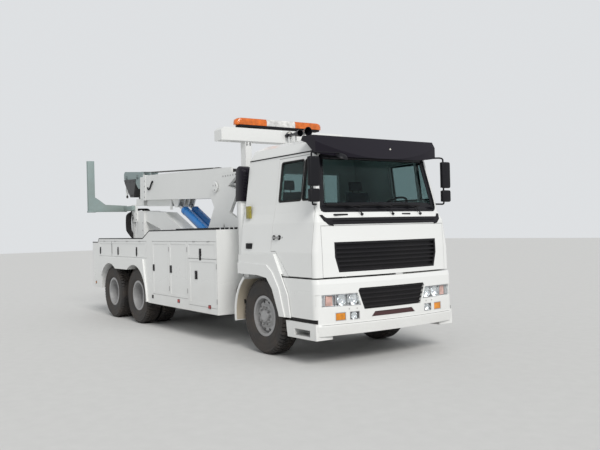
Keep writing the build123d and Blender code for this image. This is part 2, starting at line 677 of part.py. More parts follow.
def lower_grille():
    """Slatted grille in the bumper."""
    opening = front_prism(LOWER_GRILLE)
    mesh = (bumper_solid(34) - bumper_solid(40)) & opening
    slats = []
    for i in range(5):
        z = 735 + 58 * i
        level = box(900, 1600, -700, 700, z - SLAT_T / 2, z + SLAT_T / 2)
        slab = (bumper_solid(6) - bumper_solid(34)) & level
        slats += (slab & opening).solids()
    return fuse(*mesh.solids(), *slats)


def front_mudguards():
    """Curved guards behind the front wheels, on arms from the rails."""
    guard = ring_part(0, TYRE_R, 640, 652, 125, 190, 870, SIDE_Y - 10)
    lip = ring_part(0, TYRE_R, 640, 680, 125, 190, SIDE_Y - 22, SIDE_Y - 10)
    arm = box(-640, -600, RAIL_Y, 880, 775, 825)
    return [s for p in both(fuse(guard, lip, arm)) for s in p.solids()]


# Body with lockers

# Lockers of one side: name, rear x, front x, low z, high z, hinged edge
LIDS = [
    ("flap_rear", -6650, -3990, 1290, 1600, "top"),
    ("door_tall_rear", -3735, -2985, 640, 1600, "front"),
    ("door_tall_front", -2975, -2248, 640, 1600, "front"),
    ("flap_front", -2238, -1205, 1328, 1600, "top"),
    ("door_low_front", -2200, -1205, 555, 1318, "front"),
]
# Rooms behind the lids: rear x, front x, low z, high z
ROOMS = [
    (-6640, -3990, 1190, 1610),
    (-3870, -2250, 493, 1750),
    (-2210, -1220, 1340, 1750),
    (-2210, -1220, 493, 1300),
]

def arches(y0, y1):
    """Space of the double wheel arch."""
    rounds = [cyl_y(AXLES[name], TYRE_R, ARCH_R, y0, y1) for name in ("mid", "rear")]
    low = box(AXLES["rear"] - ARCH_R, AXLES["mid"] + ARCH_R, y0, y1, 300, TYRE_R)
    between = box(AXLES["rear"], AXLES["mid"], y0, y1, TYRE_R, ARCH_LINE)
    return [*rounds, low, between]


def side_body():
    """Left locker body with its double wheel arch, raised flare, rooms and lid seats."""
    outline = [
        (BODY_FRONT, 453), (BODY_FRONT, BODY_TOP), (-3850, BODY_TOP), (-4170, 1650), (-6660, 1650),
        (-6720, 1572), (BODY_REAR, 1572), (BODY_REAR, 590), (-3960, 590), (-3960, 453),
    ]
    block = prism_y(outline, SIDE_IN, SIDE_Y)
    flare = prism_y([
        (-6480, 590), (-6430, 1265), (-4130, 1265), (-3950, 470), (-4000, 470), (-4000, 590),
    ], SIDE_Y - 10, SIDE_Y + FLARE)
    rooms = [box(x0, x1, SIDE_IN + BODY_WALL, SIDE_Y - BODY_WALL, z0, z1) for x0, x1, z0, z1 in ROOMS]
    mouths = [box(x0 + LID_LIP, x1 - LID_LIP, SIDE_Y - BODY_WALL - 1, SIDE_Y + 1, z0 + LID_LIP, z1 - LID_LIP)
              for _, x0, x1, z0, z1, _ in LIDS]
    seats = [box(x0 - GAP, x1 + GAP, SIDE_Y - LID_T - FIT, SIDE_Y + 1, z0 - GAP, z1 + GAP)
             for _, x0, x1, z0, z1, _ in LIDS]
    return cut(fuse(block, flare), *arches(SIDE_IN - 1, SIDE_Y + 100), *rooms, *mouths, *seats)


def locker_lid(x0, x1, z0, z1):
    """Left lid with a shallow pressed panel."""
    slab = box(x0, x1, SIDE_Y - LID_T, SIDE_Y, z0, z1)
    panel = box(x0 + 60, x1 - 60, SIDE_Y - 5, SIDE_Y + 1, z0 + 45, z1 - 45)
    return cut(slab, panel)


FLOOR_TOP = DECK_Z + 30
DECK_PLATE = 6


def deck():
    """Floor between the lockers with a loose load's plate, and front and rear walls."""
    floor = box(-6400, BODY_FRONT, -SIDE_IN, SIDE_IN, DECK_Z, FLOOR_TOP)
    front_wall = box(BODY_FRONT - 40, BODY_FRONT, -SIDE_IN, SIDE_IN, DECK_Z, BODY_TOP)
    plate = box(-1950, BODY_FRONT - 60, -SIDE_IN + 60, SIDE_IN - 60, FLOOR_TOP, FLOOR_TOP + DECK_PLATE)
    tail = box(BODY_REAR, BODY_REAR + 40, RAIL_Y + 60, SIDE_IN, 620, 1572)
    return [fuse(floor, front_wall, plate), *both(tail)]


def rear_lamps():
    """Tail lamp clusters on the body's rear faces."""
    return both(box(BODY_REAR - 35, BODY_REAR, 760, 1180, 700, 800))


# Tower, gantry and boom

def on_boom(u, w):
    """Point of the boom's own frame: u to the rear along it, w up from its pivot."""
    a = radians(BOOM_RISE)
    return (PIVOT_X - u * cos(a) + w * sin(a), PIVOT_Z + u * sin(a) + w * cos(a))


def boom_prism(points, y0, y1):
    """Outline of (u, w) points of the boom's frame, extruded across the truck."""
    return prism_y([on_boom(u, w) for u, w in points], y0, y1)


def boom_box(u0, u1, w0, w1, y0, y1):
    """Block in the boom's frame."""
    return boom_prism([(u0, w0), (u1, w0), (u1, w1), (u0, w1)], y0, y1)


TOWER_OUTLINE = [
    (-3480, FLOOR_TOP), (-3250, 1770), (-2960, 2200), (-3080, 2380), (-3060, 2660), (-2930, 2780),
    (-2640, 2800), (-2100, 2790), (-1990, 2700), (-1990, FLOOR_TOP),
]
TOWER_HOLES = [
    [(-2420, 2560), (-2110, 2720), (-2110, 2480)],
    [(-2380, 2080), (-2120, 2420), (-2120, 1980)],
    [(-2900, 1300), (-2600, 1900), (-2250, 1300)],
]
PIN_R = 60


def tower():
    """Two cheek plates with cut-outs, the front plate and foot that join them, and both pins."""
    cheek = prism_y(TOWER_OUTLINE, CHEEK_IN, CHEEK_OUT)
    holes = [prism_y(points, CHEEK_IN - 1, CHEEK_OUT + 1) for points in TOWER_HOLES]
    bore = cyl_y(PIVOT_X, PIVOT_Z, PIN_R, CHEEK_IN - 1, CHEEK_OUT + 1)
    cheeks = both(cut(cheek, *holes))
    front = box(-2040, -1990, -CHEEK_IN, CHEEK_IN, FLOOR_TOP, 2700)
    foot = box(-3480, -1990, -CHEEK_IN, CHEEK_IN, FLOOR_TOP, FLOOR_TOP + 40)
    top_tie = box(-2200, -1990, -CHEEK_IN, CHEEK_IN, 2740, 2790)
    pivot = cyl_y(PIVOT_X, PIVOT_Z, PIN_R - FIT / 6, -CHEEK_OUT - 20, CHEEK_OUT + 20)
    base_pin = cyl_y(CYL_BASE_X, CYL_BASE_Z, 40 - FIT / 6, -CHEEK_IN, CHEEK_IN)
    return fuse(*[s for c in cheeks for s in c.solids()], front, foot, top_tie, pivot, base_pin)


INNER_CLEAR = 10
INNER_HALF = BOOM_HALF - BOOM_PLATE - INNER_CLEAR
INNER_LOW = BOOM_LOW + BOOM_PLATE + INNER_CLEAR
INNER_HIGH = BOOM_HIGH - BOOM_PLATE - INNER_CLEAR
INNER_START = 700
INNER_PLATE = 12
PAD_L = 120
PAD_HALF = INNER_HALF - 40
DUCT_U = (2310, 3590)      # channel below the boom, behind the lift cylinders' brackets
DUCT_H = 140
DUCT_HALF = 180
DUCT_WALL = 12


def boom_outer():
    """Hollow boom with doubler rings at its mouth, the pivot tube and the cylinders' brackets."""
    skin = boom_box(BOOM_FRONT, BOOM_END, BOOM_LOW, BOOM_HIGH, -BOOM_HALF, BOOM_HALF)
    hollow = boom_box(450, BOOM_END + 1, BOOM_LOW + BOOM_PLATE, BOOM_HIGH - BOOM_PLATE,
                      -BOOM_HALF + BOOM_PLATE, BOOM_HALF - BOOM_PLATE)
    mouth = boom_box(BOOM_FRONT - 1, 330, 60, BOOM_HIGH + 1, -BOOM_HALF + 30, BOOM_HALF - 30)
    nose_cut = boom_prism([(BOOM_FRONT - 1, BOOM_LOW - 1), (-180, BOOM_LOW - 1), (BOOM_FRONT - 1, 20)],
                          -BOOM_HALF - 1, BOOM_HALF + 1)
    collar = boom_box(BOOM_END - 130, BOOM_END, BOOM_LOW - 10, BOOM_HIGH + 10,
                      -BOOM_HALF - 8, BOOM_HALF + 8)
    collar = cut(collar, hollow, boom_box(BOOM_END - 140, BOOM_END + 10, BOOM_LOW + 1, BOOM_HIGH - 1,
                                          -BOOM_HALF + 1, BOOM_HALF - 1))
    bore = cyl_y(PIVOT_X, PIVOT_Z, PIN_R, -BOOM_HALF - 20, BOOM_HALF + 20)
    bosses = [cyl_y(PIVOT_X, PIVOT_Z, 110, y, y + 14) for y in (-BOOM_HALF - 14, BOOM_HALF)]
    ears = []
    for y in (-CYL_Y - 75, -CYL_Y + 50, CYL_Y - 75, CYL_Y + 50):
        ears.append(boom_prism([(EYE_U - 160, BOOM_LOW), (EYE_U + 200, BOOM_LOW), (EYE_U + 60, EYE_W - 60),
                                (EYE_U - 60, EYE_W - 60)], y, y + 25))
    pad_u = BOOM_END - 30 - PAD_L
    pads = [boom_box(pad_u, pad_u + PAD_L, w0, w1, -PAD_HALF, PAD_HALF)
            for w0, w1 in ((BOOM_LOW + BOOM_PLATE, INNER_LOW - FIT), (INNER_HIGH + FIT, BOOM_HIGH - BOOM_PLATE))]
    shell = cut(skin, hollow, mouth, nose_cut)
    duct = cut(boom_box(DUCT_U[0], DUCT_U[1], BOOM_LOW - DUCT_H, BOOM_LOW, -DUCT_HALF, DUCT_HALF),
               boom_box(DUCT_U[0] - 1, DUCT_U[1] + 1, BOOM_LOW - DUCT_H + DUCT_WALL, BOOM_LOW + 1,
                        -DUCT_HALF + DUCT_WALL, DUCT_HALF - DUCT_WALL))
    bracket = cut(boom_box(DUCT_U[0] - 60, DUCT_U[0] + 20, BOOM_LOW - DUCT_H - 75, BOOM_LOW,
                           -DUCT_HALF - 15, DUCT_HALF + 15),
                  boom_box(DUCT_U[0] - 61, DUCT_U[0] + 21, BOOM_LOW - DUCT_H - 76, BOOM_LOW - DUCT_WALL,
                           -DUCT_HALF + DUCT_WALL, DUCT_HALF - DUCT_WALL))
    return cut(fuse(*shell.solids(), *collar.solids(), *bosses, *ears, *pads, *duct.solids(),
                    *bracket.solids()), bore)


HEAD_U = 3760
NOSE_H = 130
NOSE_HALF = 210
NOSE_WALL = 15


def boom_inner():
    """Sliding section on wear pads, with the nose box under its end."""
    half = INNER_HALF
    skin = boom_box(INNER_START, HEAD_U + 130, INNER_LOW, INNER_HIGH, -half, half)
    hollow = boom_box(INNER_START - 1, HEAD_U + 100, INNER_LOW + INNER_PLATE, INNER_HIGH - INNER_PLATE,
                      -half + INNER_PLATE, half - INNER_PLATE)
    pad_u = INNER_START + 20
    pads = [boom_box(pad_u, pad_u + PAD_L, w0, w1, -PAD_HALF, PAD_HALF)
            for w0, w1 in ((BOOM_LOW + BOOM_PLATE + FIT, INNER_LOW), (INNER_HIGH, BOOM_HIGH - BOOM_PLATE - FIT))]
    nose = boom_box(HEAD_U - 40, HEAD_U + 400, BOOM_LOW - NOSE_H, INNER_LOW, -NOSE_HALF, NOSE_HALF)
    nose_hollow = boom_box(HEAD_U + 20, HEAD_U + 401, BOOM_LOW - NOSE_H + NOSE_WALL, INNER_LOW - NOSE_WALL,
                           -NOSE_HALF + NOSE_WALL, NOSE_HALF - NOSE_WALL)
    return fuse(*cut(skin, hollow).solids(), *pads, *cut(nose, nose_hollow).solids())


SHEAVE_R = 115
SHEAVE_W = 330
SHEAVE_U = (4130, 4810)
HEAD_END = 4990
HEAD_HALF = 190
BLOCK_U = (4250, 4900)     # top of the hook's block
BLOCK_FOOT_U = (4350, 4560)
BLOCK_TOP = 190
BLOCK_LOW = -133
HOOK = (4455, -215)


def boom_head():
    """Sheave head at the boom's end: three plates, two pairs of sheaves and cross webs."""
    outline = [
        (HEAD_U + 130, 60), (HEAD_U + 130, INNER_HIGH), (HEAD_U + 60, INNER_HIGH), (HEAD_U + 60, 440),
        (HEAD_END - 60, 485), (HEAD_END, 430), (HEAD_END, 330), (BLOCK_U[1], BLOCK_TOP),
        (BLOCK_U[0], BLOCK_TOP), (BLOCK_U[0] - 170, 60),
    ]
    plates = [boom_prism(outline, y, y + 20) for y in (-HEAD_HALF, -10, HEAD_HALF - 20)]
    bridge = boom_box(HEAD_U + 130, HEAD_U + 150, 60, 300, -HEAD_HALF, HEAD_HALF)
    end = boom_box(HEAD_END - 40, HEAD_END - 20, 330, 430, -HEAD_HALF, HEAD_HALF)
    pins = [cyl_y(*on_boom(u, SHEAVE_W), 34, -HEAD_HALF - 15, HEAD_HALF + 15) for u in SHEAVE_U]
    sheaves = [cyl_y(*on_boom(u, SHEAVE_W), SHEAVE_R, y, y + 60) for u in SHEAVE_U for y in (-120, 60)]
    web = boom_box(SHEAVE_U[0] - 100, BLOCK_U[1], 250, 262, -HEAD_HALF + 10, HEAD_HALF - 10)
    return fuse(*plates, bridge, end, *pins, *sheaves, web)


def hook_block():
    """Black block below the sheave head, between two cheek plates, with its hook."""
    sides = [(BLOCK_U[1], BLOCK_TOP), (BLOCK_FOOT_U[1], BLOCK_LOW), (BLOCK_FOOT_U[0], BLOCK_LOW),
             (BLOCK_U[0], BLOCK_TOP)]
    block = boom_prism(sides, -HEAD_HALF, HEAD_HALF)
    cheek = boom_prism([(BLOCK_U[0] - 10, 290), (BLOCK_U[1] + 65, 290), *sides], HEAD_HALF, HEAD_HALF + 12)
    shank = boom_box(HOOK[0] - 20, HOOK[0] + 20, BLOCK_LOW - 57, BLOCK_LOW, -20, 20)
    hook = ring_part(*on_boom(*HOOK), 32, 58, -200, 92, -16, 16)
    return fuse(block, *both(cheek), shank, hook)


def winches():
    """Two rope drums between flanges, side by side in the boom's front end."""
    pieces = []
    for y0, y1 in ((-219, -12), (12, 219)):
        x, z = on_boom(-90, 205)
        pieces.append(cyl_y(x, z, 105, y0, y1))
        pieces += [cyl_y(x, z, 135, y, y + 14) for y in (y0, y1 - 14)]
    x, z = on_boom(-90, 205)
    pieces.append(cyl_y(x, z, 40, -BOOM_HALF + 30, BOOM_HALF - 30))
    return fuse(*pieces)


def cylinder_axis():
    """Base pin, eye pin and unit direction of the lift cylinders at rest."""
    ex, ez = on_boom(EYE_U, EYE_W)
    length = hypot(ex - CYL_BASE_X, ez - CYL_BASE_Z)
    return ex, ez, (ex - CYL_BASE_X) / length, (ez - CYL_BASE_Z) / length, length


BARREL_L = 1880


def lift_barrels():
    """Both lift cylinders' barrels on the tower's base pin."""
    ex, ez, dx, dz, length = cylinder_axis()
    barrels = []
    for y in (-CYL_Y, CYL_Y):
        tube = cylinder((CYL_BASE_X, y, CYL_BASE_Z), (dx, 0, dz), CYL_R, BARREL_L)
        gland = cylinder((CYL_BASE_X + dx * (BARREL_L - 60), y, CYL_BASE_Z + dz * (BARREL_L - 60)),
                         (dx, 0, dz), CYL_R + 8, 60)
        eye = cyl_y(CYL_BASE_X, CYL_BASE_Z, 75, y - 60, y + 60)
        start = (CYL_BASE_X + dx * 120, y, CYL_BASE_Z + dz * 120)
        bore = cylinder(start, (dx, 0, dz), ROD_R + FIT, BARREL_L)
        pin = cyl_y(CYL_BASE_X, CYL_BASE_Z, 40, y - 90, y + 90)
        barrels += cut(fuse(tube, gland, eye), bore, pin).solids()
    bridge = cyl_y(CYL_BASE_X, CYL_BASE_Z, 75, -CYL_Y + 59, CYL_Y - 59)
    bridge = cut(bridge, cyl_y(CYL_BASE_X, CYL_BASE_Z, 40, -200, 200))
    return fuse(*barrels, *bridge.solids())


def lift_rods():
    """Both rods, each with its eye between the boom's ears, joined by the eyes' tube."""
    ex, ez, dx, dz, length = cylinder_axis()
    rods = []
    for y in (-CYL_Y, CYL_Y):
        start = 900
        rod = cylinder((CYL_BASE_X + dx * start, y, CYL_BASE_Z + dz * start), (dx, 0, dz), ROD_R,
                       length - start)
        rods.append(fuse(rod, cyl_y(ex, ez, 52, y - 49, y + 49)))
    return rods


POST_Y = (660, 770)


def light_gantry():
    """Two posts behind the cab and the long beam on them."""
    posts = both(box(-1170, -1020, POST_Y[0], POST_Y[1], RAIL_TOP, 3180))
    feet = both(box(-1170, -1020, RAIL_Y, POST_Y[1], RAIL_TOP - 120, RAIL_TOP))
    beam = prism_x([(-1200, 3175), (1200, 3175), (1200, 3335), (1150, 3380), (-1150, 3380), (-1200, 3335)],
                   -1240, -1010)
    return fuse(*posts, *feet, beam)


def light_bar():
    """Warning light bar with rounded ends, on two feet."""
    ends = [cylinder((-1125, y, 3405), (0, 0, 1), 85, 150) for y in (-790, 790)]
    middle = box(-1210, -1040, -790, 790, 3405, 3555)
    feet = [box(-1180, -1070, y - 60, y + 60, 3380, 3405) for y in (-500, 500)]
    return fuse(*ends, middle, *feet)


def air_intake():
    """Intake box behind the cab's right side, on its duct."""
    head = prism_y([(-800, 2240), (-600, 2240), (-560, 2700), (-640, 2745), (-760, 2700)], -1110, -930)
    duct = box(-760, -640, -1090, -950, 1300, 2240)
    foot = box(-760, -640, -950, -RAIL_Y, 1300, 1420)
    leg = box(-760, -640, -RAIL_Y - 120, -RAIL_Y, 1000, 1300)
    return fuse(head, duct, foot, leg)


# Underlift

MAST_X = (-7370, -6620)
MAST_LOW = 440
MAST_TOP = 2260
MAST_HALF = 200
MAST_WALL = 30
ARM_PIN = (-7480, 580)
ARM_HALF = 130
ARM_DEPTH = 85             # half the arm's depth, along the truck
ARM_WALL = 16
ARM_TOP = 1450


def underlift_mast():
    """Slotted mast on the frame's end with its forward brace, the arm's two pin plates, and the pin."""
    rear, front = MAST_X
    column = prism_y([
        (rear, MAST_LOW), (rear, MAST_TOP - 130), (rear + 60, MAST_TOP - 30), (rear + 150, MAST_TOP),
        (front, MAST_TOP), (front, MAST_LOW),
    ], -MAST_HALF, MAST_HALF)
    slots = [box(rear - 1, rear + 60, y, y + 90, 1250, MAST_TOP - 150) for y in (-150, 60)]
    window = box(rear + 180, rear + 275, -MAST_HALF - 1, MAST_HALF + 1, 1250, 2050)
    hollow = box(rear + 60, front - MAST_WALL, -MAST_HALF + MAST_WALL, MAST_HALF - MAST_WALL,
                 MAST_LOW - 1, MAST_TOP - 2 * MAST_WALL)
    boss = cyl_y(rear + 140, MAST_TOP - 130, 55, -MAST_HALF - 25, MAST_HALF + 25)
    rail_seats = both(box(RAIL_REAR + 20, front, MAST_HALF, RAIL_Y - RAIL_FLANGE, 700, 1000))
    brace = prism_y([
        (front, MAST_TOP - 5), (front, 2020), (-6050, 1890), (-5050, 1640), (-4600, FLOOR_TOP),
        (-4250, FLOOR_TOP), (-4700, 1800), (-5600, 2190),
    ], -150, 150)
    x, z = ARM_PIN
    plates = both(prism_y([
        (rear, z - 100), (rear, z + 180), (x + 40, z + 95),
        (x - 85, z + 60), (x - 85, z - 60), (x + 40, z - 100),
    ], ARM_HALF + FIT, ARM_HALF + 40))
    pin = cyl_y(x, z, 40 - FIT / 6, -ARM_HALF - FIT, ARM_HALF + FIT)
    mast = fuse(*cut(column, *slots, window, hollow).solids(), boss, *rail_seats, brace)
    return [mast, *plates, pin]


def underlift_arm():
    """Folding arm, upright when stowed, hollow for its extension."""
    x, z = ARM_PIN
    depth, wall = ARM_DEPTH, ARM_WALL
    tube = box(x - depth, x + depth, -ARM_HALF, ARM_HALF, z + 70, ARM_TOP)
    hollow = box(x - depth + wall, x + depth - wall, -ARM_HALF + wall, ARM_HALF - wall,
                 z + 120, ARM_TOP + 1)
    eye = cyl_y(x, z, depth, -ARM_HALF, ARM_HALF)
    web = box(x - depth, x + depth, -ARM_HALF, ARM_HALF, z, z + 71)
    return cut(fuse(*cut(tube, hollow).solids(), eye, web), cyl_y(x, z, 40, -200, 200))


SOCKET_Y = 450


def underlift_crossbar():
    """Extension in the arm, with the crossbar and its two fork sockets."""
    x, z = ARM_PIN
    inset = ARM_WALL + FIT
    slide = box(x - ARM_DEPTH + inset, x + ARM_DEPTH - inset, -ARM_HALF + inset, ARM_HALF - inset,
                z + 125, ARM_TOP + 60)
    bar = box(x - 75, x + 75, -520, 520, ARM_TOP + 20, ARM_TOP + 150)
    sockets = both(cylinder((x - 110, SOCKET_Y, ARM_TOP + 85), (1, 0, 0), 60, 190))
    bores = both(cylinder((x - 120, SOCKET_Y, ARM_TOP + 85), (1, 0, 0), 45, 230))
    return cut(fuse(slide, bar, *sockets), *bores)


wheels()
save("chassis_frame", chassis_frame())
save("powertrain", powertrain())
save("axles", front_axle(), rear_axles())
save("knuckle_left", knuckle())
save("knuckle_right", knuckle().mirror(Plane.XZ))
save("cab_shell", cab_shell())
save("cab_glass", *cab_glass())
save("front_flap", front_flap())
save("upper_grille", upper_grille())
save("sun_visor", sun_visor())
save("mirrors", *mirrors())
save("cab_interior", *cab_interior())
door = cab_door()
glass = door_glass()
save("cab_door_left", door)
save("cab_door_right", door.mirror(Plane.XZ))
save("door_glass_left", *glass)
save("door_glass_right", *[pane.mirror(Plane.XZ) for pane in glass])
save("bumper", bumper())
save("front_lamps", *front_lamps())
save("lower_grille", lower_grille())
save("front_mudguards", *front_mudguards())
body = side_body()
save("side_body_left", body)
save("side_body_right", body.mirror(Plane.XZ))
for lid_name, x0, x1, z0, z1, _ in LIDS:
    lid = locker_lid(x0, x1, z0, z1)
    save(f"{lid_name}_left", lid)
    save(f"{lid_name}_right", lid.mirror(Plane.XZ))
save("deck", *deck())
save("rear_lamps", *rear_lamps())
save("tower", tower())
save("boom_outer", boom_outer())
save("boom_inner", boom_inner())
save("boom_head", boom_head())
save("hook_block", hook_block())
save("winches", winches())
save("lift_barrels", lift_barrels())
save("lift_rods", *lift_rods())
save("light_gantry", light_gantry())
save("light_bar", light_bar())
save("air_intake", air_intake())
save("underlift_mast", *underlift_mast())
save("underlift_arm", underlift_arm())
save("underlift_crossbar", underlift_crossbar())
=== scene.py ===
"""Heavy recovery truck: its finishes, trim and small parts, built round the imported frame.

Lengths are metres: +X forward, +Y to the truck's left, +Z up. Pieces are laid out from the point on the
ground below the front axle, and Shape.place() moves them to the frame's origin below the truck's middle.
"""

from __future__ import annotations

import json
import logging
import math
from abc import ABC, abstractmethod
from dataclasses import dataclass, field
from enum import Enum
from typing import Any, Callable, ClassVar, Iterable, Sequence

import bmesh
import bpy
from mathutils import Matrix, Vector

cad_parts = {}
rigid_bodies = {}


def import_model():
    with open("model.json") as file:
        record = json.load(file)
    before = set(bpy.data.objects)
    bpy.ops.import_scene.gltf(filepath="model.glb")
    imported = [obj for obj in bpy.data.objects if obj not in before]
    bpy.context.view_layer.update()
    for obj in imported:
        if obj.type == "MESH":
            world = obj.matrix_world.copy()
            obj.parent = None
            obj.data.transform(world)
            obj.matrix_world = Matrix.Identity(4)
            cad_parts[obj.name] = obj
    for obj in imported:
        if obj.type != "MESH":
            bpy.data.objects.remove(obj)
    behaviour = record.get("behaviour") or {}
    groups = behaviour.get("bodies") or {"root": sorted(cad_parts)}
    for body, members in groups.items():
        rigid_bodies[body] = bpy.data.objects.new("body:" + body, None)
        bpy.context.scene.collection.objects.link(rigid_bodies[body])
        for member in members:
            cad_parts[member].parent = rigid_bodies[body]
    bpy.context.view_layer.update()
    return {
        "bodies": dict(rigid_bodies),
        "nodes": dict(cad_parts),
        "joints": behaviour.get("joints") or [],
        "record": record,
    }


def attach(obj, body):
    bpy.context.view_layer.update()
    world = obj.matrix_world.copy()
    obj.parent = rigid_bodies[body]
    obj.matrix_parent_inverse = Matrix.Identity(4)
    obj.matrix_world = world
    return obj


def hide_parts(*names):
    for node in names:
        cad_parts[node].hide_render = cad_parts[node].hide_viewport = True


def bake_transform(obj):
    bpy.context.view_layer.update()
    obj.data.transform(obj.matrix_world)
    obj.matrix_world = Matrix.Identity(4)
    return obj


LOG = logging.getLogger("recovery_truck")

Point = tuple[float, float, float]
Flat = tuple[float, float]
Colour = tuple[float, float, float]

FRONT_AXLE_X = 3.16
WHEELBASE = 4.6
BOGIE_SPREAD = 1.35
AXLES = (("front", 0.0), ("mid", -WHEELBASE), ("rear", -WHEELBASE - BOGIE_SPREAD))
TYRE_RADIUS = 0.542
WELD = 1e-6


class Side(Enum):
    """The two sides of the truck, with the sign of their Y."""

    LEFT = 1
    RIGHT = -1

    @property
    def label(self) -> str:
        """Ending that the frame's names have on this side."""
        return self.name.lower()

    def at(self, x: float, y: float, z: float) -> Vector:
        """Point given for the left side, on this side."""
        return Vector((x, y * self.value, z))


class Slot(str, Enum):
    """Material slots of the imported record."""

    WHITE = "white_paint"
    CHASSIS = "chassis_paint"
    IRON = "cast_iron"
    HEAD = "head_paint"
    WINCH = "winch_paint"
    BLUE = "blue_paint"
    CHROME = "rod_chrome"
    CLEAR_LAMP = "clear_lamp"
    RED_LAMP = "red_lamp"
    AMBER_LAMP = "amber_lamp"
    BLACK = "black_plastic"
    GLASS = "glass"
    RIM = "rim_paint"
    TYRE = "tyre"


# Shader trees


class Tree:
    """A node tree that is being filled."""

    def __init__(self, tree: bpy.types.NodeTree) -> None:
        """Start on a tree.

        Args:
            tree: The material's or the group's tree.
        """
        self.tree = tree

    def add(self, kind: str, inputs: dict[Any, Any] | None = None, **settings: Any) -> bpy.types.Node:
        """Add one node, set its properties and feed its inputs.

        Args:
            kind: Blender's name of the node's type.
            inputs: Socket name or number, and the value or the output that feeds it.
            settings: Properties of the node itself.

        Returns:
            The new node.
        """
        node = self.tree.nodes.new(kind)
        for key, value in settings.items():
            setattr(node, key, value)
        for key, value in (inputs or {}).items():
            if isinstance(value, bpy.types.NodeSocket):
                self.tree.links.new(value, node.inputs[key])
            else:
                node.inputs[key].default_value = value
        return node

    def place(self) -> bpy.types.NodeSocket:
        """The piece's own coordinates."""
        return self.add("ShaderNodeTexCoord").outputs["Object"]

    def noise(self, scale: Any, detail: float, place: bpy.types.NodeSocket) -> bpy.types.NodeSocket:
        """Noise over a place.

        Args:
            scale: Patches in each metre.
            detail: Octaves.
            place: Coordinates.

        Returns:
            The noise's factor.
        """
        inputs = {"Vector": place, "Scale": scale, "Detail": detail, "Roughness": 0.55}
        return self.add("ShaderNodeTexNoise", inputs).outputs["Fac"]

    def wave(self, place: bpy.types.NodeSocket, scale: float, way: str,
             bent: float = 0.0) -> bpy.types.NodeSocket:
        """Waves along one direction, straight or bent."""
        inputs = {"Vector": place, "Scale": scale, "Distortion": bent}
        return self.add("ShaderNodeTexWave", inputs, bands_direction=way).outputs["Fac"]

    def bump(self, height: bpy.types.NodeSocket, strength: Any, distance: float,
             normal: bpy.types.NodeSocket | None = None) -> bpy.types.NodeSocket:
        """Normal of an uneven surface.

        Args:
            height: The unevenness.
            strength: How strongly it shows.
            distance: Its depth in metres.
            normal: The normal below it, or None for the surface's own.

        Returns:
            The normal.
        """
        inputs = {"Height": height, "Strength": strength, "Distance": distance}
        if normal is not None:
            inputs["Normal"] = normal
        return self.add("ShaderNodeBump", inputs).outputs[0]

    def group(self, group: bpy.types.NodeTree, **values: Any) -> bpy.types.Node:
        """Add a node group and set its own sockets."""
        node = self.add("ShaderNodeGroup", node_tree=group)
        for name, value in values.items():
            constant = (*value, 1) if isinstance(value, tuple) else value
            node.inputs[name.replace("_", " ")].default_value = constant
        return node

    def principled(self, **inputs: Any) -> bpy.types.Node:
        """Add the surface shader; an underscore stands for a space in a socket's name."""
        sockets = {name.replace("_", " "): value for name, value in inputs.items()}
        return self.add("ShaderNodeBsdfPrincipled", sockets)

    def math(self, operation: str, *values: Any, clamp: bool = False) -> bpy.types.NodeSocket:
        """Result of one arithmetic step on values or outputs."""
        inputs = dict(enumerate(values))
        node = self.add("ShaderNodeMath", inputs, operation=operation, use_clamp=clamp)
        return node.outputs[0]

    def ramp(self, value: bpy.types.NodeSocket, low: float, high: float, to_low: float = 0.0,
             to_high: float = 1.0) -> bpy.types.NodeSocket:
        """Value stretched from one range to another, and clamped there."""
        node = self.add("ShaderNodeMapRange", {"Value": value, "From Min": low, "From Max": high,
                                               "To Min": to_low, "To Max": to_high})
        return node.outputs["Result"]

    def mix(self, factor: Any, first: Any, second: Any) -> bpy.types.NodeSocket:
        """Colour between two others."""
        node = self.add("ShaderNodeMix", {0: factor, 6: first, 7: second}, data_type="RGBA")
        return node.outputs[2]


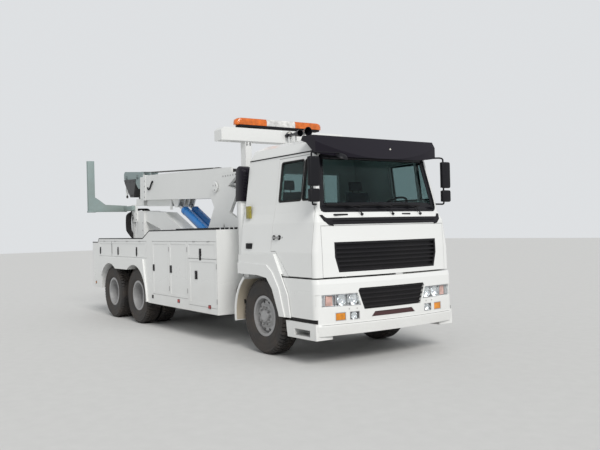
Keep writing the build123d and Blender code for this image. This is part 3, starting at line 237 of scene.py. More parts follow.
class Groups:
    """Shader node groups that several finishes share, each built once."""

    made: ClassVar[dict[str, bpy.types.NodeTree]] = {}

    @classmethod
    def get(cls, name: str, build: Callable[[bpy.types.NodeTree], None]) -> bpy.types.NodeTree:
        """The group of that name, built on its first use.

        Args:
            name: The group's name.
            build: Fills a new group.

        Returns:
            The group.
        """
        if name not in cls.made:
            tree = bpy.data.node_groups.new(name, "ShaderNodeTree")
            build(tree)
            cls.made[name] = tree
        return cls.made[name]

    @staticmethod
    def socket(tree: bpy.types.NodeTree, name: str, kind: str, output: bool = False,
               default: Any = None) -> None:
        """Give a group one socket."""
        made = tree.interface.new_socket(name=name, in_out="OUTPUT" if output else "INPUT",
                                         socket_type=f"NodeSocket{kind}")
        if default is not None:
            made.default_value = default

    @classmethod
    def road_dust(cls) -> bpy.types.NodeTree:
        """Dust that lies thicker low down on the truck: colour and roughness."""

        def build(tree: bpy.types.NodeTree) -> None:
            cls.socket(tree, "Paint", "Color")
            cls.socket(tree, "Dust", "Color", default=(0.33, 0.29, 0.24, 1))
            cls.socket(tree, "Amount", "Float", default=0.3)
            cls.socket(tree, "Height", "Float", default=0.9)
            cls.socket(tree, "Gloss", "Float", default=0.3)
            cls.socket(tree, "Colour", "Color", output=True)
            cls.socket(tree, "Roughness", "Float", output=True)
            t = Tree(tree)
            given = t.add("NodeGroupInput")
            out = t.add("NodeGroupOutput")
            place = t.place()
            height = t.add("ShaderNodeSeparateXYZ", {0: place}).outputs["Z"]
            low = t.math("SUBTRACT", 1.0, t.math("DIVIDE", height, given.outputs["Height"]), clamp=True)
            patches = t.ramp(t.noise(2.2, 5.0, place), 0.32, 0.72, 0.35, 1.0)
            speckle = t.ramp(t.noise(46.0, 3.0, place), 0.35, 0.75, 0.55, 1.0)
            film = t.ramp(t.noise(0.9, 4.0, place), 0.4, 0.8, 0.0, 0.1)
            spread = t.math("MULTIPLY", t.math("MULTIPLY", low, patches), speckle)
            mask = t.math("MULTIPLY", t.math("ADD", spread, film), given.outputs["Amount"], clamp=True)
            colour = t.mix(mask, given.outputs["Paint"], given.outputs["Dust"])
            rough = t.math("ADD", given.outputs["Gloss"], t.math("MULTIPLY", mask, 0.5), clamp=True)
            tree.links.new(colour, out.inputs["Colour"])
            tree.links.new(rough, out.inputs["Roughness"])

        return cls.get("road_dust", build)

    @classmethod
    def soft_edges(cls) -> bpy.types.NodeTree:
        """Rounded corners and fine unevenness of a coated surface, as a normal."""

        def build(tree: bpy.types.NodeTree) -> None:
            cls.socket(tree, "Grain scale", "Float", default=300.0)
            cls.socket(tree, "Grain", "Float", default=0.05)
            cls.socket(tree, "Waves", "Float", default=0.05)
            cls.socket(tree, "Normal", "Vector", output=True)
            t = Tree(tree)
            given = t.add("NodeGroupInput")
            out = t.add("NodeGroupOutput")
            place = t.place()
            corners = t.add("ShaderNodeBevel", {"Radius": 0.005}, samples=4).outputs[0]
            waves = t.bump(t.noise(3.0, 1.0, place), given.outputs["Waves"], 0.01, corners)
            fine = t.noise(given.outputs["Grain scale"], 2.0, place)
            tree.links.new(t.bump(fine, given.outputs["Grain"], 0.001, waves), out.inputs["Normal"])

        return cls.get("soft_edges", build)


@dataclass(frozen=True)
class Finish(ABC):
    """A surface finish: one material, built on its first use."""

    name: str
    slot: Slot
    colour: Colour
    built: ClassVar[dict[str, bpy.types.Material]] = {}

    def shade(self, share: float = 1.0) -> tuple[float, ...]:
        """The finish's colour, darker or paler."""
        return (*(min(1.0, c * share) for c in self.colour), 1)

    def material(self) -> bpy.types.Material:
        """The finish's material."""
        if self.name not in self.built:
            made = bpy.data.materials.new(self.name)
            made.use_nodes = True
            made.node_tree.nodes.clear()
            tree = Tree(made.node_tree)
            shader = self.shader(tree)
            tree.add("ShaderNodeOutputMaterial", {"Surface": shader.outputs[0]})
            self.built[self.name] = made
        return self.built[self.name]

    @abstractmethod
    def shader(self, tree: Tree) -> bpy.types.Node:
        """Fill the tree and return its last shader."""


@dataclass(frozen=True)
class Paint(Finish):
    """Sprayed or moulded coat, dusty towards the road."""

    gloss: float = 0.3
    metallic: float = 0.0
    coat: float = 0.3
    dust: float = 0.35
    dust_height: float = 1.0
    dust_colour: Colour = (0.33, 0.29, 0.24)
    grain: float = 0.03
    grain_scale: float = 320.0
    waves: float = 0.04
    specular: float = 0.5

    def shader(self, tree: Tree) -> bpy.types.Node:
        """Principled coat with dust and softened corners."""
        dusty = tree.group(Groups.road_dust(), Paint=self.colour, Dust=self.dust_colour, Amount=self.dust,
                           Height=self.dust_height, Gloss=self.gloss)
        edges = tree.group(Groups.soft_edges(), Grain_scale=self.grain_scale, Grain=self.grain,
                           Waves=self.waves)
        return tree.principled(
            Base_Color=dusty.outputs["Colour"], Roughness=dusty.outputs["Roughness"],
            Normal=edges.outputs["Normal"], Metallic=self.metallic, Coat_Weight=self.coat,
            Coat_Roughness=0.12, Specular_IOR_Level=self.specular)


@dataclass(frozen=True)
class Glazing(Finish):
    """Tinted or clear safety glass and lamp lenses."""

    ribs: float = 0.0

    def shader(self, tree: Tree) -> bpy.types.Node:
        """Glass whose shadow lets the light through."""
        inputs: dict[str, Any] = {}
        if self.ribs:
            inputs["Normal"] = tree.bump(tree.wave(tree.place(), self.ribs, "Y"), 0.3, 0.002)
        glass = tree.principled(Base_Color=self.shade(), Roughness=0.0, IOR=1.2, Transmission_Weight=1.0,
                                Specular_IOR_Level=0.6, **inputs)
        clear = tree.add("ShaderNodeBsdfTransparent", {"Color": self.shade()})
        shadow = tree.add("ShaderNodeLightPath").outputs["Is Shadow Ray"]
        return tree.add("ShaderNodeMixShader", {0: shadow, 1: glass.outputs[0], 2: clear.outputs[0]})


@dataclass(frozen=True)
class Lens(Finish):
    """Coloured moulded lens with a fine pattern of flutes."""

    flutes: float = 90.0
    glow: float = 0.0

    def shader(self, tree: Tree) -> bpy.types.Node:
        """Bright plastic over a mottled depth."""
        place = tree.place()
        depth = tree.ramp(tree.noise(14.0, 4.0, place), 0.35, 0.7, 0.35, 1.0)
        flutes = tree.wave(place, self.flutes, "DIAGONAL", 1.0)
        return tree.principled(
            Base_Color=tree.mix(depth, self.shade(0.35), self.shade()), Roughness=0.18, Coat_Weight=0.6,
            Coat_Roughness=0.05, Normal=tree.bump(flutes, 0.35, 0.002), Emission_Color=self.shade(),
            Emission_Strength=self.glow)


@dataclass(frozen=True)
class Tread(Finish):
    """Tyre rubber, with dust that stays on the walls and in the grooves."""

    dust_colour: Colour = (0.115, 0.088, 0.068)

    def shader(self, tree: Tree) -> bpy.types.Node:
        """Dull rubber with blown dust."""
        place = tree.place()
        patches = tree.ramp(tree.noise(5.0, 6.0, place), 0.35, 0.7, 0.1, 0.55)
        fine = tree.ramp(tree.noise(120.0, 2.0, place), 0.3, 0.8, 0.5, 1.0)
        mask = tree.math("MULTIPLY", patches, fine)
        return tree.principled(
            Base_Color=tree.mix(mask, self.shade(), (*self.dust_colour, 1)),
            Roughness=tree.ramp(mask, 0.0, 0.6, 0.62, 0.9),
            Normal=tree.bump(tree.noise(240.0, 2.0, place), 0.25, 0.001))


@dataclass(frozen=True)
class Cloth(Finish):
    """Woven seat cloth."""

    threads: float = 420.0

    def shader(self, tree: Tree) -> bpy.types.Node:
        """Weave in two crossed waves, with sheen."""
        place = tree.place()
        weave = tree.math("MULTIPLY", *(tree.wave(place, self.threads, way) for way in "YZ"))
        tone = tree.ramp(tree.noise(12.0, 3.0, place), 0.3, 0.7, 0.6, 1.1)
        colour = tree.mix(tree.math("MULTIPLY", weave, tone), self.shade(), self.shade(1.6))
        return tree.principled(Base_Color=colour, Roughness=0.9, Sheen_Weight=0.3,
                               Normal=tree.bump(weave, 0.4, 0.001))


@dataclass(frozen=True)
class Strands(Finish):
    """Steel wire rope: strands twisted round its run along X."""

    def shader(self, tree: Tree) -> bpy.types.Node:
        """Metal with slanting grooves."""
        wave = tree.wave(tree.place(), 60.0, "DIAGONAL")
        return tree.principled(Base_Color=tree.mix(wave, self.shade(0.3), self.shade()), Roughness=0.45,
                               Metallic=0.85, Normal=tree.bump(wave, 0.8, 0.003))


@dataclass(frozen=True)
class TreadPlate(Finish):
    """Floor plate with raised bars that lie two ways."""

    bars: float = 22.0

    def shader(self, tree: Tree) -> bpy.types.Node:
        """Painted plate with a bar pattern as bump."""
        place = tree.place()
        heights = []
        for angle in (0.785, -0.785):
            turned = tree.add("ShaderNodeMapping", {"Vector": place, "Rotation": (0, 0, angle),
                                                    "Scale": (self.bars, self.bars * 3, 0)})
            cells = {"Vector": turned.outputs[0], "Scale": 1.0, "Randomness": 0.0}
            bars = tree.add("ShaderNodeTexVoronoi", cells).outputs["Distance"]
            heights.append(tree.ramp(bars, 0.18, 0.3, 1.0, 0.0))
        dusty = tree.group(Groups.road_dust(), Paint=self.colour, Amount=0.8, Height=3.0, Gloss=0.45)
        return tree.principled(
            Base_Color=dusty.outputs["Colour"], Roughness=dusty.outputs["Roughness"], Metallic=0.2,
            Normal=tree.bump(tree.math("MAXIMUM", *heights), 0.7, 0.003))


WHITE = Paint("white_body_paint", Slot.WHITE, (0.8, 0.81, 0.8), gloss=0.26, coat=0.35, dust=0.45)
FRAME_BLACK = Paint("chassis_black", Slot.CHASSIS, (0.018, 0.018, 0.02), gloss=0.5, coat=0.0, dust=0.75,
                    dust_height=1.4)
CASTING = Paint("engine_grey", Slot.IRON, (0.09, 0.095, 0.1), gloss=0.55, coat=0.0, dust=0.5, grain=0.3,
                grain_scale=160.0)
HEAD_GREY = Paint("head_grey_green", Slot.HEAD, (0.25, 0.32, 0.32), gloss=0.45, coat=0.1, dust=0.2)
WORN_GREY = Paint("worn_grey_green", Slot.HEAD, (0.27, 0.36, 0.36), gloss=0.55, coat=0.0, dust=0.75,
                  dust_height=6.0, dust_colour=(0.2, 0.15, 0.11), grain=0.2, grain_scale=90.0)
DRUM_BLACK = Paint("winch_black", Slot.WINCH, (0.025, 0.025, 0.028), gloss=0.4, coat=0.1)
RAM_BLUE = Paint("ram_blue", Slot.BLUE, (0.01, 0.18, 0.52), gloss=0.25, coat=0.4, dust=0.1)
RIM_GREY = Paint("rim_grey", Slot.RIM, (0.44, 0.45, 0.46), gloss=0.42, metallic=0.2, coat=0.1, dust=0.62,
                 dust_height=1.4, dust_colour=(0.16, 0.12, 0.09))

CLEAN: dict[str, float] = {"coat": 0.0, "dust": 0.0, "grain": 0.0, "waves": 0.0}
CHROME = Paint("hard_chrome", Slot.CHROME, (0.75, 0.76, 0.78), gloss=0.08, metallic=1.0, **CLEAN)
REFLECTOR = Paint("lamp_bowl", Slot.CHROME, (0.86, 0.87, 0.88), gloss=0.12, metallic=0.9, **CLEAN)
MIRROR = Paint("mirror_glass", Slot.CHROME, (0.8, 0.82, 0.85), gloss=0.02, metallic=1.0, **CLEAN)
STEEL = Paint("bright_steel", Slot.CHROME, (0.42, 0.42, 0.42), gloss=0.35, metallic=0.9, coat=0.0, dust=0.3,
              grain=0.1)
SATIN_SILVER = Paint("satin_silver", Slot.CHROME, (0.5, 0.5, 0.51), gloss=0.3, metallic=0.7, coat=0.0,
                     dust=0.1)

BLACK_MOULDING = Paint("black_moulding", Slot.BLACK, (0.008, 0.008, 0.011), gloss=0.45, coat=0.0, dust=0.08,
                       dust_height=2.5, grain=0.25, grain_scale=520.0, waves=0.0, specular=0.22)
BLACK_GLOSS = Paint("black_gloss", Slot.BLACK, (0.006, 0.006, 0.009), gloss=0.2, coat=0.15, dust=0.02,
                    dust_height=3.5, specular=0.3)
VISOR_BLACK = Paint("visor_black", Slot.BLACK, (0.007, 0.005, 0.011), gloss=0.3, coat=0.08, dust=0.02,
                    dust_height=3.5, specular=0.22)
RUBBER = Paint("black_rubber", Slot.BLACK, (0.009, 0.009, 0.01), gloss=0.62, coat=0.0, dust=0.1,
               dust_height=2.5, grain=0.15, grain_scale=600.0, waves=0.0, specular=0.25)
SHADOW_SEAM = Paint("dark_seam", Slot.BLACK, (0.03, 0.03, 0.032), gloss=0.7, coat=0.0, dust=0.2)
MAROON = Paint("maroon_cover", Slot.BLACK, (0.045, 0.008, 0.012), gloss=0.4, coat=0.1, dust=0.2)
CABIN_GREY = Paint("cabin_grey", Slot.BLACK, (0.12, 0.125, 0.135), gloss=0.6, coat=0.0, dust=0.0, grain=0.3,
                   grain_scale=500.0)
TAN_LINING = Paint("dusty_lining", Slot.BLACK, (0.42, 0.37, 0.29), gloss=0.8, coat=0.0, dust=0.5,
                   dust_height=2.0, grain=0.3, grain_scale=60.0)

REFLECTOR_YELLOW = Lens("reflector_yellow", Slot.AMBER_LAMP, (0.36, 0.30, 0.02), flutes=160.0)
LAMP_AMBER = Lens("lamp_amber", Slot.AMBER_LAMP, (0.85, 0.3, 0.01), flutes=80.0, glow=0.05)
BAR_AMBER = Lens("bar_amber", Slot.AMBER_LAMP, (0.75, 0.16, 0.01), flutes=40.0, glow=0.1)
INDICATOR_PINK = Lens("indicator_lens", Slot.AMBER_LAMP, (0.66, 0.40, 0.34), flutes=110.0, glow=0.02)
LAMP_RED = Lens("lamp_red", Slot.RED_LAMP, (0.5, 0.01, 0.01), flutes=90.0, glow=0.02)
LAMP_WHITE = Lens("lamp_white", Slot.CLEAR_LAMP, (0.9, 0.88, 0.8), flutes=90.0, glow=0.15)
BAR_CLEAR = Lens("bar_clear", Slot.CLEAR_LAMP, (0.78, 0.78, 0.76), flutes=50.0, glow=0.1)

CAB_GLASS = Glazing("cab_glass_tint", Slot.GLASS, (0.36, 0.46, 0.46))
LAMP_GLASS = Glazing("lamp_glass", Slot.CLEAR_LAMP, (0.93, 0.95, 0.96), ribs=30.0)
TYRE = Tread("tyre_rubber", Slot.TYRE, (0.022, 0.022, 0.023))
SEAT_CLOTH = Cloth("seat_cloth", Slot.BLACK, (0.1, 0.11, 0.13))
ROPE = Strands("wire_rope", Slot.WINCH, (0.16, 0.15, 0.14))
FLOOR_PLATE = TreadPlate("deck_plate", Slot.WHITE, (0.55, 0.56, 0.57))


# Meshes


def verts_in(geom: Iterable[Any]) -> list[bmesh.types.BMVert]:
    """The vertices among an operator's results."""
    return [item for item in geom if isinstance(item, bmesh.types.BMVert)]


class Shape:
    """A mesh under construction, in the truck's own frame."""

    def __init__(self) -> None:
        """Start empty."""
        self.mesh = bmesh.new()

    def soften(self, edges: Iterable[bmesh.types.BMEdge], radius: float, segments: int = 2) -> None:
        """Round some edges."""
        bmesh.ops.bevel(self.mesh, geom=list(edges), offset=radius, segments=segments, profile=0.5,
                        affect="EDGES", material=-1)

    def lift(self, faces: Iterable[bmesh.types.BMFace], way: Sequence[float]) -> list[bmesh.types.BMVert]:
        """Extrude faces into a plate and return the moved vertices."""
        moved = verts_in(bmesh.ops.extrude_face_region(self.mesh, geom=list(faces))["geom"])
        bmesh.ops.translate(self.mesh, verts=moved, vec=way)
        return moved

    def skin(self, rows: Sequence[Sequence[Vector]], closed: bool,
             back: bool = False) -> tuple[list[list[bmesh.types.BMEdge]], list[bmesh.types.BMFace]]:
        """Join rows of points by faces.

        Args:
            rows: The points of each row.
            closed: Whether a row's last point joins its first.
            back: Whether the last row joins the first.

        Returns:
            The edges of each row, and the faces between the rows.
        """
        loops: list[list[bmesh.types.BMEdge]] = []
        for row in rows:
            verts = [self.mesh.verts.new(p) for p in row]
            ends = verts[1:] + verts[:1] if closed else verts[1:]
            loops.append([self.mesh.edges.new(pair) for pair in zip(verts, ends)])
        faces: list[bmesh.types.BMFace] = []
        for first, second in zip(loops, loops[1:] + (loops[:1] if back else [])):
            faces += bmesh.ops.bridge_loops(self.mesh, edges=first + second)["faces"]
        return loops, faces

    def block(self, low: Sequence[float], high: Sequence[float], bevel: float = 0.003, segments: int = 2,
              turn: Matrix | None = None) -> "Shape":
        """Add a block with rounded edges.

        Args:
            low: One corner.
            high: The opposite corner.
            bevel: Radius of its edges.
            segments: Facets of each edge.
            turn: Extra turn about the block's middle.

        Returns:
            This shape.
        """
        low, high = Vector(low), Vector(high)
        lows = Vector(map(min, low, high))
        size = Vector(map(max, low, high)) - lows
        stand = Matrix.Translation(lows + size / 2) @ (turn or Matrix.Identity(4))
        matrix = stand @ Matrix.Diagonal((*size, 1))
        verts = bmesh.ops.create_cube(self.mesh, size=1.0, matrix=matrix)["verts"]
        if bevel:
            self.soften({e for v in verts for e in v.link_edges}, min(bevel, min(size) * 0.45), segments)
        return self

    def rod(self, start: Sequence[float], end: Sequence[float], radius: float, sides: int = 20,
            end_radius: float | None = None, bevel: float = 0.0) -> "Shape":
        """Add a round bar or a cone between two points.

        Args:
            start: Middle of its first end.
            end: Middle of its last end.
            radius: Radius at the start.
            sides: Facets round it.
            end_radius: Radius at the end, if it differs.
            bevel: Radius of the end's rims.

        Returns:
            This shape.
        """
        start, end = Vector(start), Vector(end)
        run = end - start
        matrix = Matrix.Translation((start + end) / 2) @ run.to_track_quat("Z", "Y").to_matrix().to_4x4()
        verts = bmesh.ops.create_cone(self.mesh, cap_ends=True, segments=sides, radius1=radius,
                                      radius2=radius if end_radius is None else end_radius,
                                      depth=run.length, matrix=matrix)["verts"]
        if bevel:
            caps = {f for v in verts for f in v.link_faces if len(f.verts) > 4}
            self.soften({e for f in caps for e in f.edges}, bevel)
        return self

    def lathe(self, outline: Sequence[Flat], centre: Sequence[float], axis: Sequence[float] = (0, 1, 0),
              steps: int = 48) -> "Shape":
        """Spin an outline about an axis.

        Args:
            outline: Radius and distance along the axis of each point; it closes on itself unless both
                ends lie on the axis.
            centre: Where the distance is zero.
            axis: Direction of the axis.
            steps: Facets round it.

        Returns:
            This shape.
        """
        axis_dir = Vector(axis).normalized()
        radial = axis_dir.orthogonal().normalized()
        origin = Vector(centre)
        verts = [self.mesh.verts.new(origin + axis_dir * along + radial * r) for r, along in outline]
        pairs = list(zip(verts, verts[1:]))
        if outline[0][0] or outline[-1][0]:
            pairs.append((verts[-1], verts[0]))
        edges = [self.mesh.edges.new(pair) for pair in pairs]
        bmesh.ops.spin(self.mesh, geom=verts + edges, cent=origin, axis=axis_dir, angle=math.tau, steps=steps,
                       use_merge=True, use_duplicate=False)
        bmesh.ops.remove_doubles(self.mesh, verts=self.mesh.verts, dist=WELD)
        return self

    def bridge(self, loops: Sequence[Sequence[Vector]]) -> "Shape":
        """Close a band through several closed loops of points and back to the first."""
        self.skin(loops, True, True)
        return self

    def slab(self, points: Sequence[Flat], axis: int, start: float, end: float,
             bevel: float = 0.0) -> "Shape":
        """Add a plate: an outline across one axis, extruded along it.

        Args:
            points: The outline, in the two other coordinates.
            axis: Number of the axis.
            start: Where the plate starts on it.
            end: Where it ends.
            bevel: Radius of its edges.

        Returns:
            This shape.
        """
        verts = [self.mesh.verts.new((*point[:axis], start, *point[axis:])) for point in points]
        way = [0.0, 0.0, 0.0]
        way[axis] = end - start
        moved = self.lift([self.mesh.faces.new(verts)], way)
        if bevel:
            self.soften({e for v in verts + moved for e in v.link_edges}, bevel)
        return self

    def strip(self, rails: Sequence[Sequence[Vector]], depth: Vector) -> "Shape":
        """Add a curved plate through rows of points, with a thickness."""
        self.lift(self.skin(rails, False)[1], depth)
        return self

    def loft(self, rings: Sequence[Sequence[Vector]]) -> "Shape":
        """Add a closed form through rings of points, with flat ends."""
        loops, _ = self.skin(rings, True)
        for end in (loops[0], loops[-1]):
            bmesh.ops.contextual_create(self.mesh, geom=end)
        return self

    def everything(self) -> list[Any]:
        """All that the mesh has so far."""
        return self.mesh.verts[:] + self.mesh.edges[:] + self.mesh.faces[:]

    def copies(self, geom: list[Any]) -> list[bmesh.types.BMVert]:
        """Copy some of the mesh and return the new vertices."""
        return verts_in(bmesh.ops.duplicate(self.mesh, geom=geom)["geom"])

    def round_array(self, count: int, centre: Sequence[float], axis: Sequence[float] = (0, 1, 0)) -> "Shape":
        """Repeat all so far, evenly round an axis."""
        geom = self.everything()
        for i in range(1, count):
            turn = Matrix.Rotation(math.tau * i / count, 3, Vector(axis))
            bmesh.ops.rotate(self.mesh, verts=self.copies(geom), cent=Vector(centre), matrix=turn)
        return self

    def mirrored(self) -> "Shape":
        """Add the mirror image on the truck's other side."""
        bmesh.ops.scale(self.mesh, verts=self.copies(self.everything()), vec=(1, -1, 1))
        return self

    def place(self, name: str, finish: Finish, body: str | None = "chassis", replaces: Sequence[str] = (),
              sharp: float = 35.0) -> bpy.types.Object:
        """Finish the mesh as one piece of the truck.

        Args:
            name: The piece's name.
            finish: Its finish.
            body: The frame's body that it rides on, or None to leave it unattached.
            replaces: The frame's nodes that it stands for.
            sharp: Edges sharper than this many degrees stay sharp.

        Returns:
            The piece.
        """
        bmesh.ops.translate(self.mesh, verts=self.mesh.verts[:], vec=(FRONT_AXLE_X, 0, 0))
        bmesh.ops.recalc_face_normals(self.mesh, faces=self.mesh.faces[:])
        data = bpy.data.meshes.new(name)
        self.mesh.to_mesh(data)
        self.mesh.free()
        data.shade_smooth()
        data.set_sharp_from_angle(angle=math.radians(sharp))
        data.materials.append(finish.material())
        piece = bpy.data.objects.new(name, data)
        bpy.context.scene.collection.objects.link(piece)
        if body:
            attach(piece, body)
        if replaces:
            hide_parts(*replaces)
        LOG.info("piece %s on %s: %d faces", name, body, len(data.polygons))
        return piece


def sweep(name: str, points: Sequence[Sequence[float]], radius: float, finish: Finish,
          body: str | None = "chassis", sides: int = 4, smooth: bool = True) -> bpy.types.Object:
    """Make a round tube along points.

    Args:
        name: The piece's name.
        points: The tube's route.
        radius: The tube's radius.
        finish: Its finish.
        body: The frame's body that it rides on, or None to leave it unattached.
        sides: Facets in a quarter of its section.
        smooth: Whether it bends smoothly past its points.

    Returns:
        The piece.
    """
    curve = bpy.data.curves.new(name + "_line", "CURVE")
    curve.dimensions = "3D"
    curve.bevel_depth = radius
    curve.bevel_resolution = sides
    curve.use_fill_caps = True
    spline = curve.splines.new("NURBS" if smooth else "POLY")
    spline.points.add(len(points) - 1)
    for point, place in zip(spline.points, points):
        point.co = (*place, 1.0)
    if smooth:
        spline.order_u = 3
        spline.use_endpoint_u = True
        spline.resolution_u = 8
    holder = bpy.data.objects.new(name + "_line", curve)
    bpy.context.scene.collection.objects.link(holder)
    data = bpy.data.meshes.new_from_object(holder.evaluated_get(bpy.context.evaluated_depsgraph_get()))
    bpy.data.objects.remove(holder)
    shape = Shape()
    shape.mesh.from_mesh(data)
    bmesh.ops.remove_doubles(shape.mesh, verts=shape.mesh.verts, dist=WELD)
    return shape.place(name, finish, body)


def rounded_loop(corners: Sequence[Flat], radius: float, inset: float = 0.0, steps: int = 5,
                 spacing: float = 0.08) -> list[Flat]:
    """Outline with rounded corners and even points, moved in from its corners' polygon.

    Args:
        corners: The polygon's corners, anticlockwise.
        radius: Radius of the corners before the inset.
        inset: How far the outline lies inside the polygon.
        steps: Facets of each corner.
        spacing: Distance of the points along the straights.

    Returns:
        The outline's points; their number doesn't depend on the inset.
    """
    turn_radius = max(radius - inset, 0.003)
    after = [*corners[1:], corners[0]]
    arcs = []
    for i, corner in enumerate(corners):
        here = Vector(corner)
        back = (Vector(corners[i - 1]) - here).normalized()
        ahead = (Vector(after[i]) - here).normalized()
        reach = (inset + turn_radius) / math.sin(back.angle(ahead) / 2)
        centre = here + (back + ahead).normalized() * reach
        start = math.atan2(back.x, -back.y)
        bend = (math.atan2(-ahead.x, ahead.y) - start) % math.tau
        arcs.append([(centre.x + turn_radius * math.cos(start + bend * k / steps),
                      centre.y + turn_radius * math.sin(start + bend * k / steps)) for k in range(steps + 1)])
    loop: list[Flat] = []
    for i, arc in enumerate(arcs):
        loop += arc
        last, nxt = arc[-1], arcs[(i + 1) % len(arcs)][0]
        between = max(1, int((Vector(after[i]) - Vector(corners[i])).length / spacing))
        for k in range(1, between):
            share = k / between
            loop.append((last[0] + (nxt[0] - last[0]) * share, last[1] + (nxt[1] - last[1]) * share))
    return loop


def dress(frame: dict[str, Any], finish: Finish, *names: str) -> None:
    """Give nodes of the frame a finish."""
    for name in names:
        for holder in frame["nodes"][name].material_slots:
            holder.material = finish.material()
        LOG.info("node %s dressed in %s", name, finish.name)


# Cab


@dataclass
class CabForm:
    """Outside of the cab, from sections at several heights: height, front, sweep, half width."""

    sections: tuple[tuple[float, float, float, float], ...] = (
        (1.140, 1.460, 0.095, 1.200),
        (1.460, 1.452, 0.095, 1.200),
        (1.850, 1.432, 0.090, 1.152),
        (1.985, 1.352, 0.080, 1.120),
        (2.120, 1.336, 0.078, 1.096),
        (2.780, 1.190, 0.066, 1.004),
        (2.930, 1.090, 0.060, 0.950),
        (2.990, 0.940, 0.050, 0.850),
    )

    def section(self, z: float) -> tuple[float, float, float]:
        """Front, sweep and half width at one height."""
        for low, high in zip(self.sections, self.sections[1:]):
            if z <= high[0]:
                break
        share = (z - low[0]) / (high[0] - low[0])
        return tuple(a + (b - a) * share for a, b in zip(low[1:], high[1:]))

    def front(self, y: float, z: float, lift: float = 0.0) -> Vector:
        """Point on the cab's front.

        Args:
            y: Distance from the middle.
            z: Height.
            lift: Distance in front of the surface.

        Returns:
            The point.
        """
        front, sweep, half = self.section(z)
        radius = (half * half + sweep * sweep) / (2 * sweep)
        drop = radius - math.sqrt(radius * radius - y * y)
        return Vector((front - drop + lift, y, z))

    def side(self, side: Side, x: float, z: float, lift: float = 0.0) -> Vector:
        """Point on the cab's flank."""
        return side.at(x, self.section(z)[2] + lift, z)


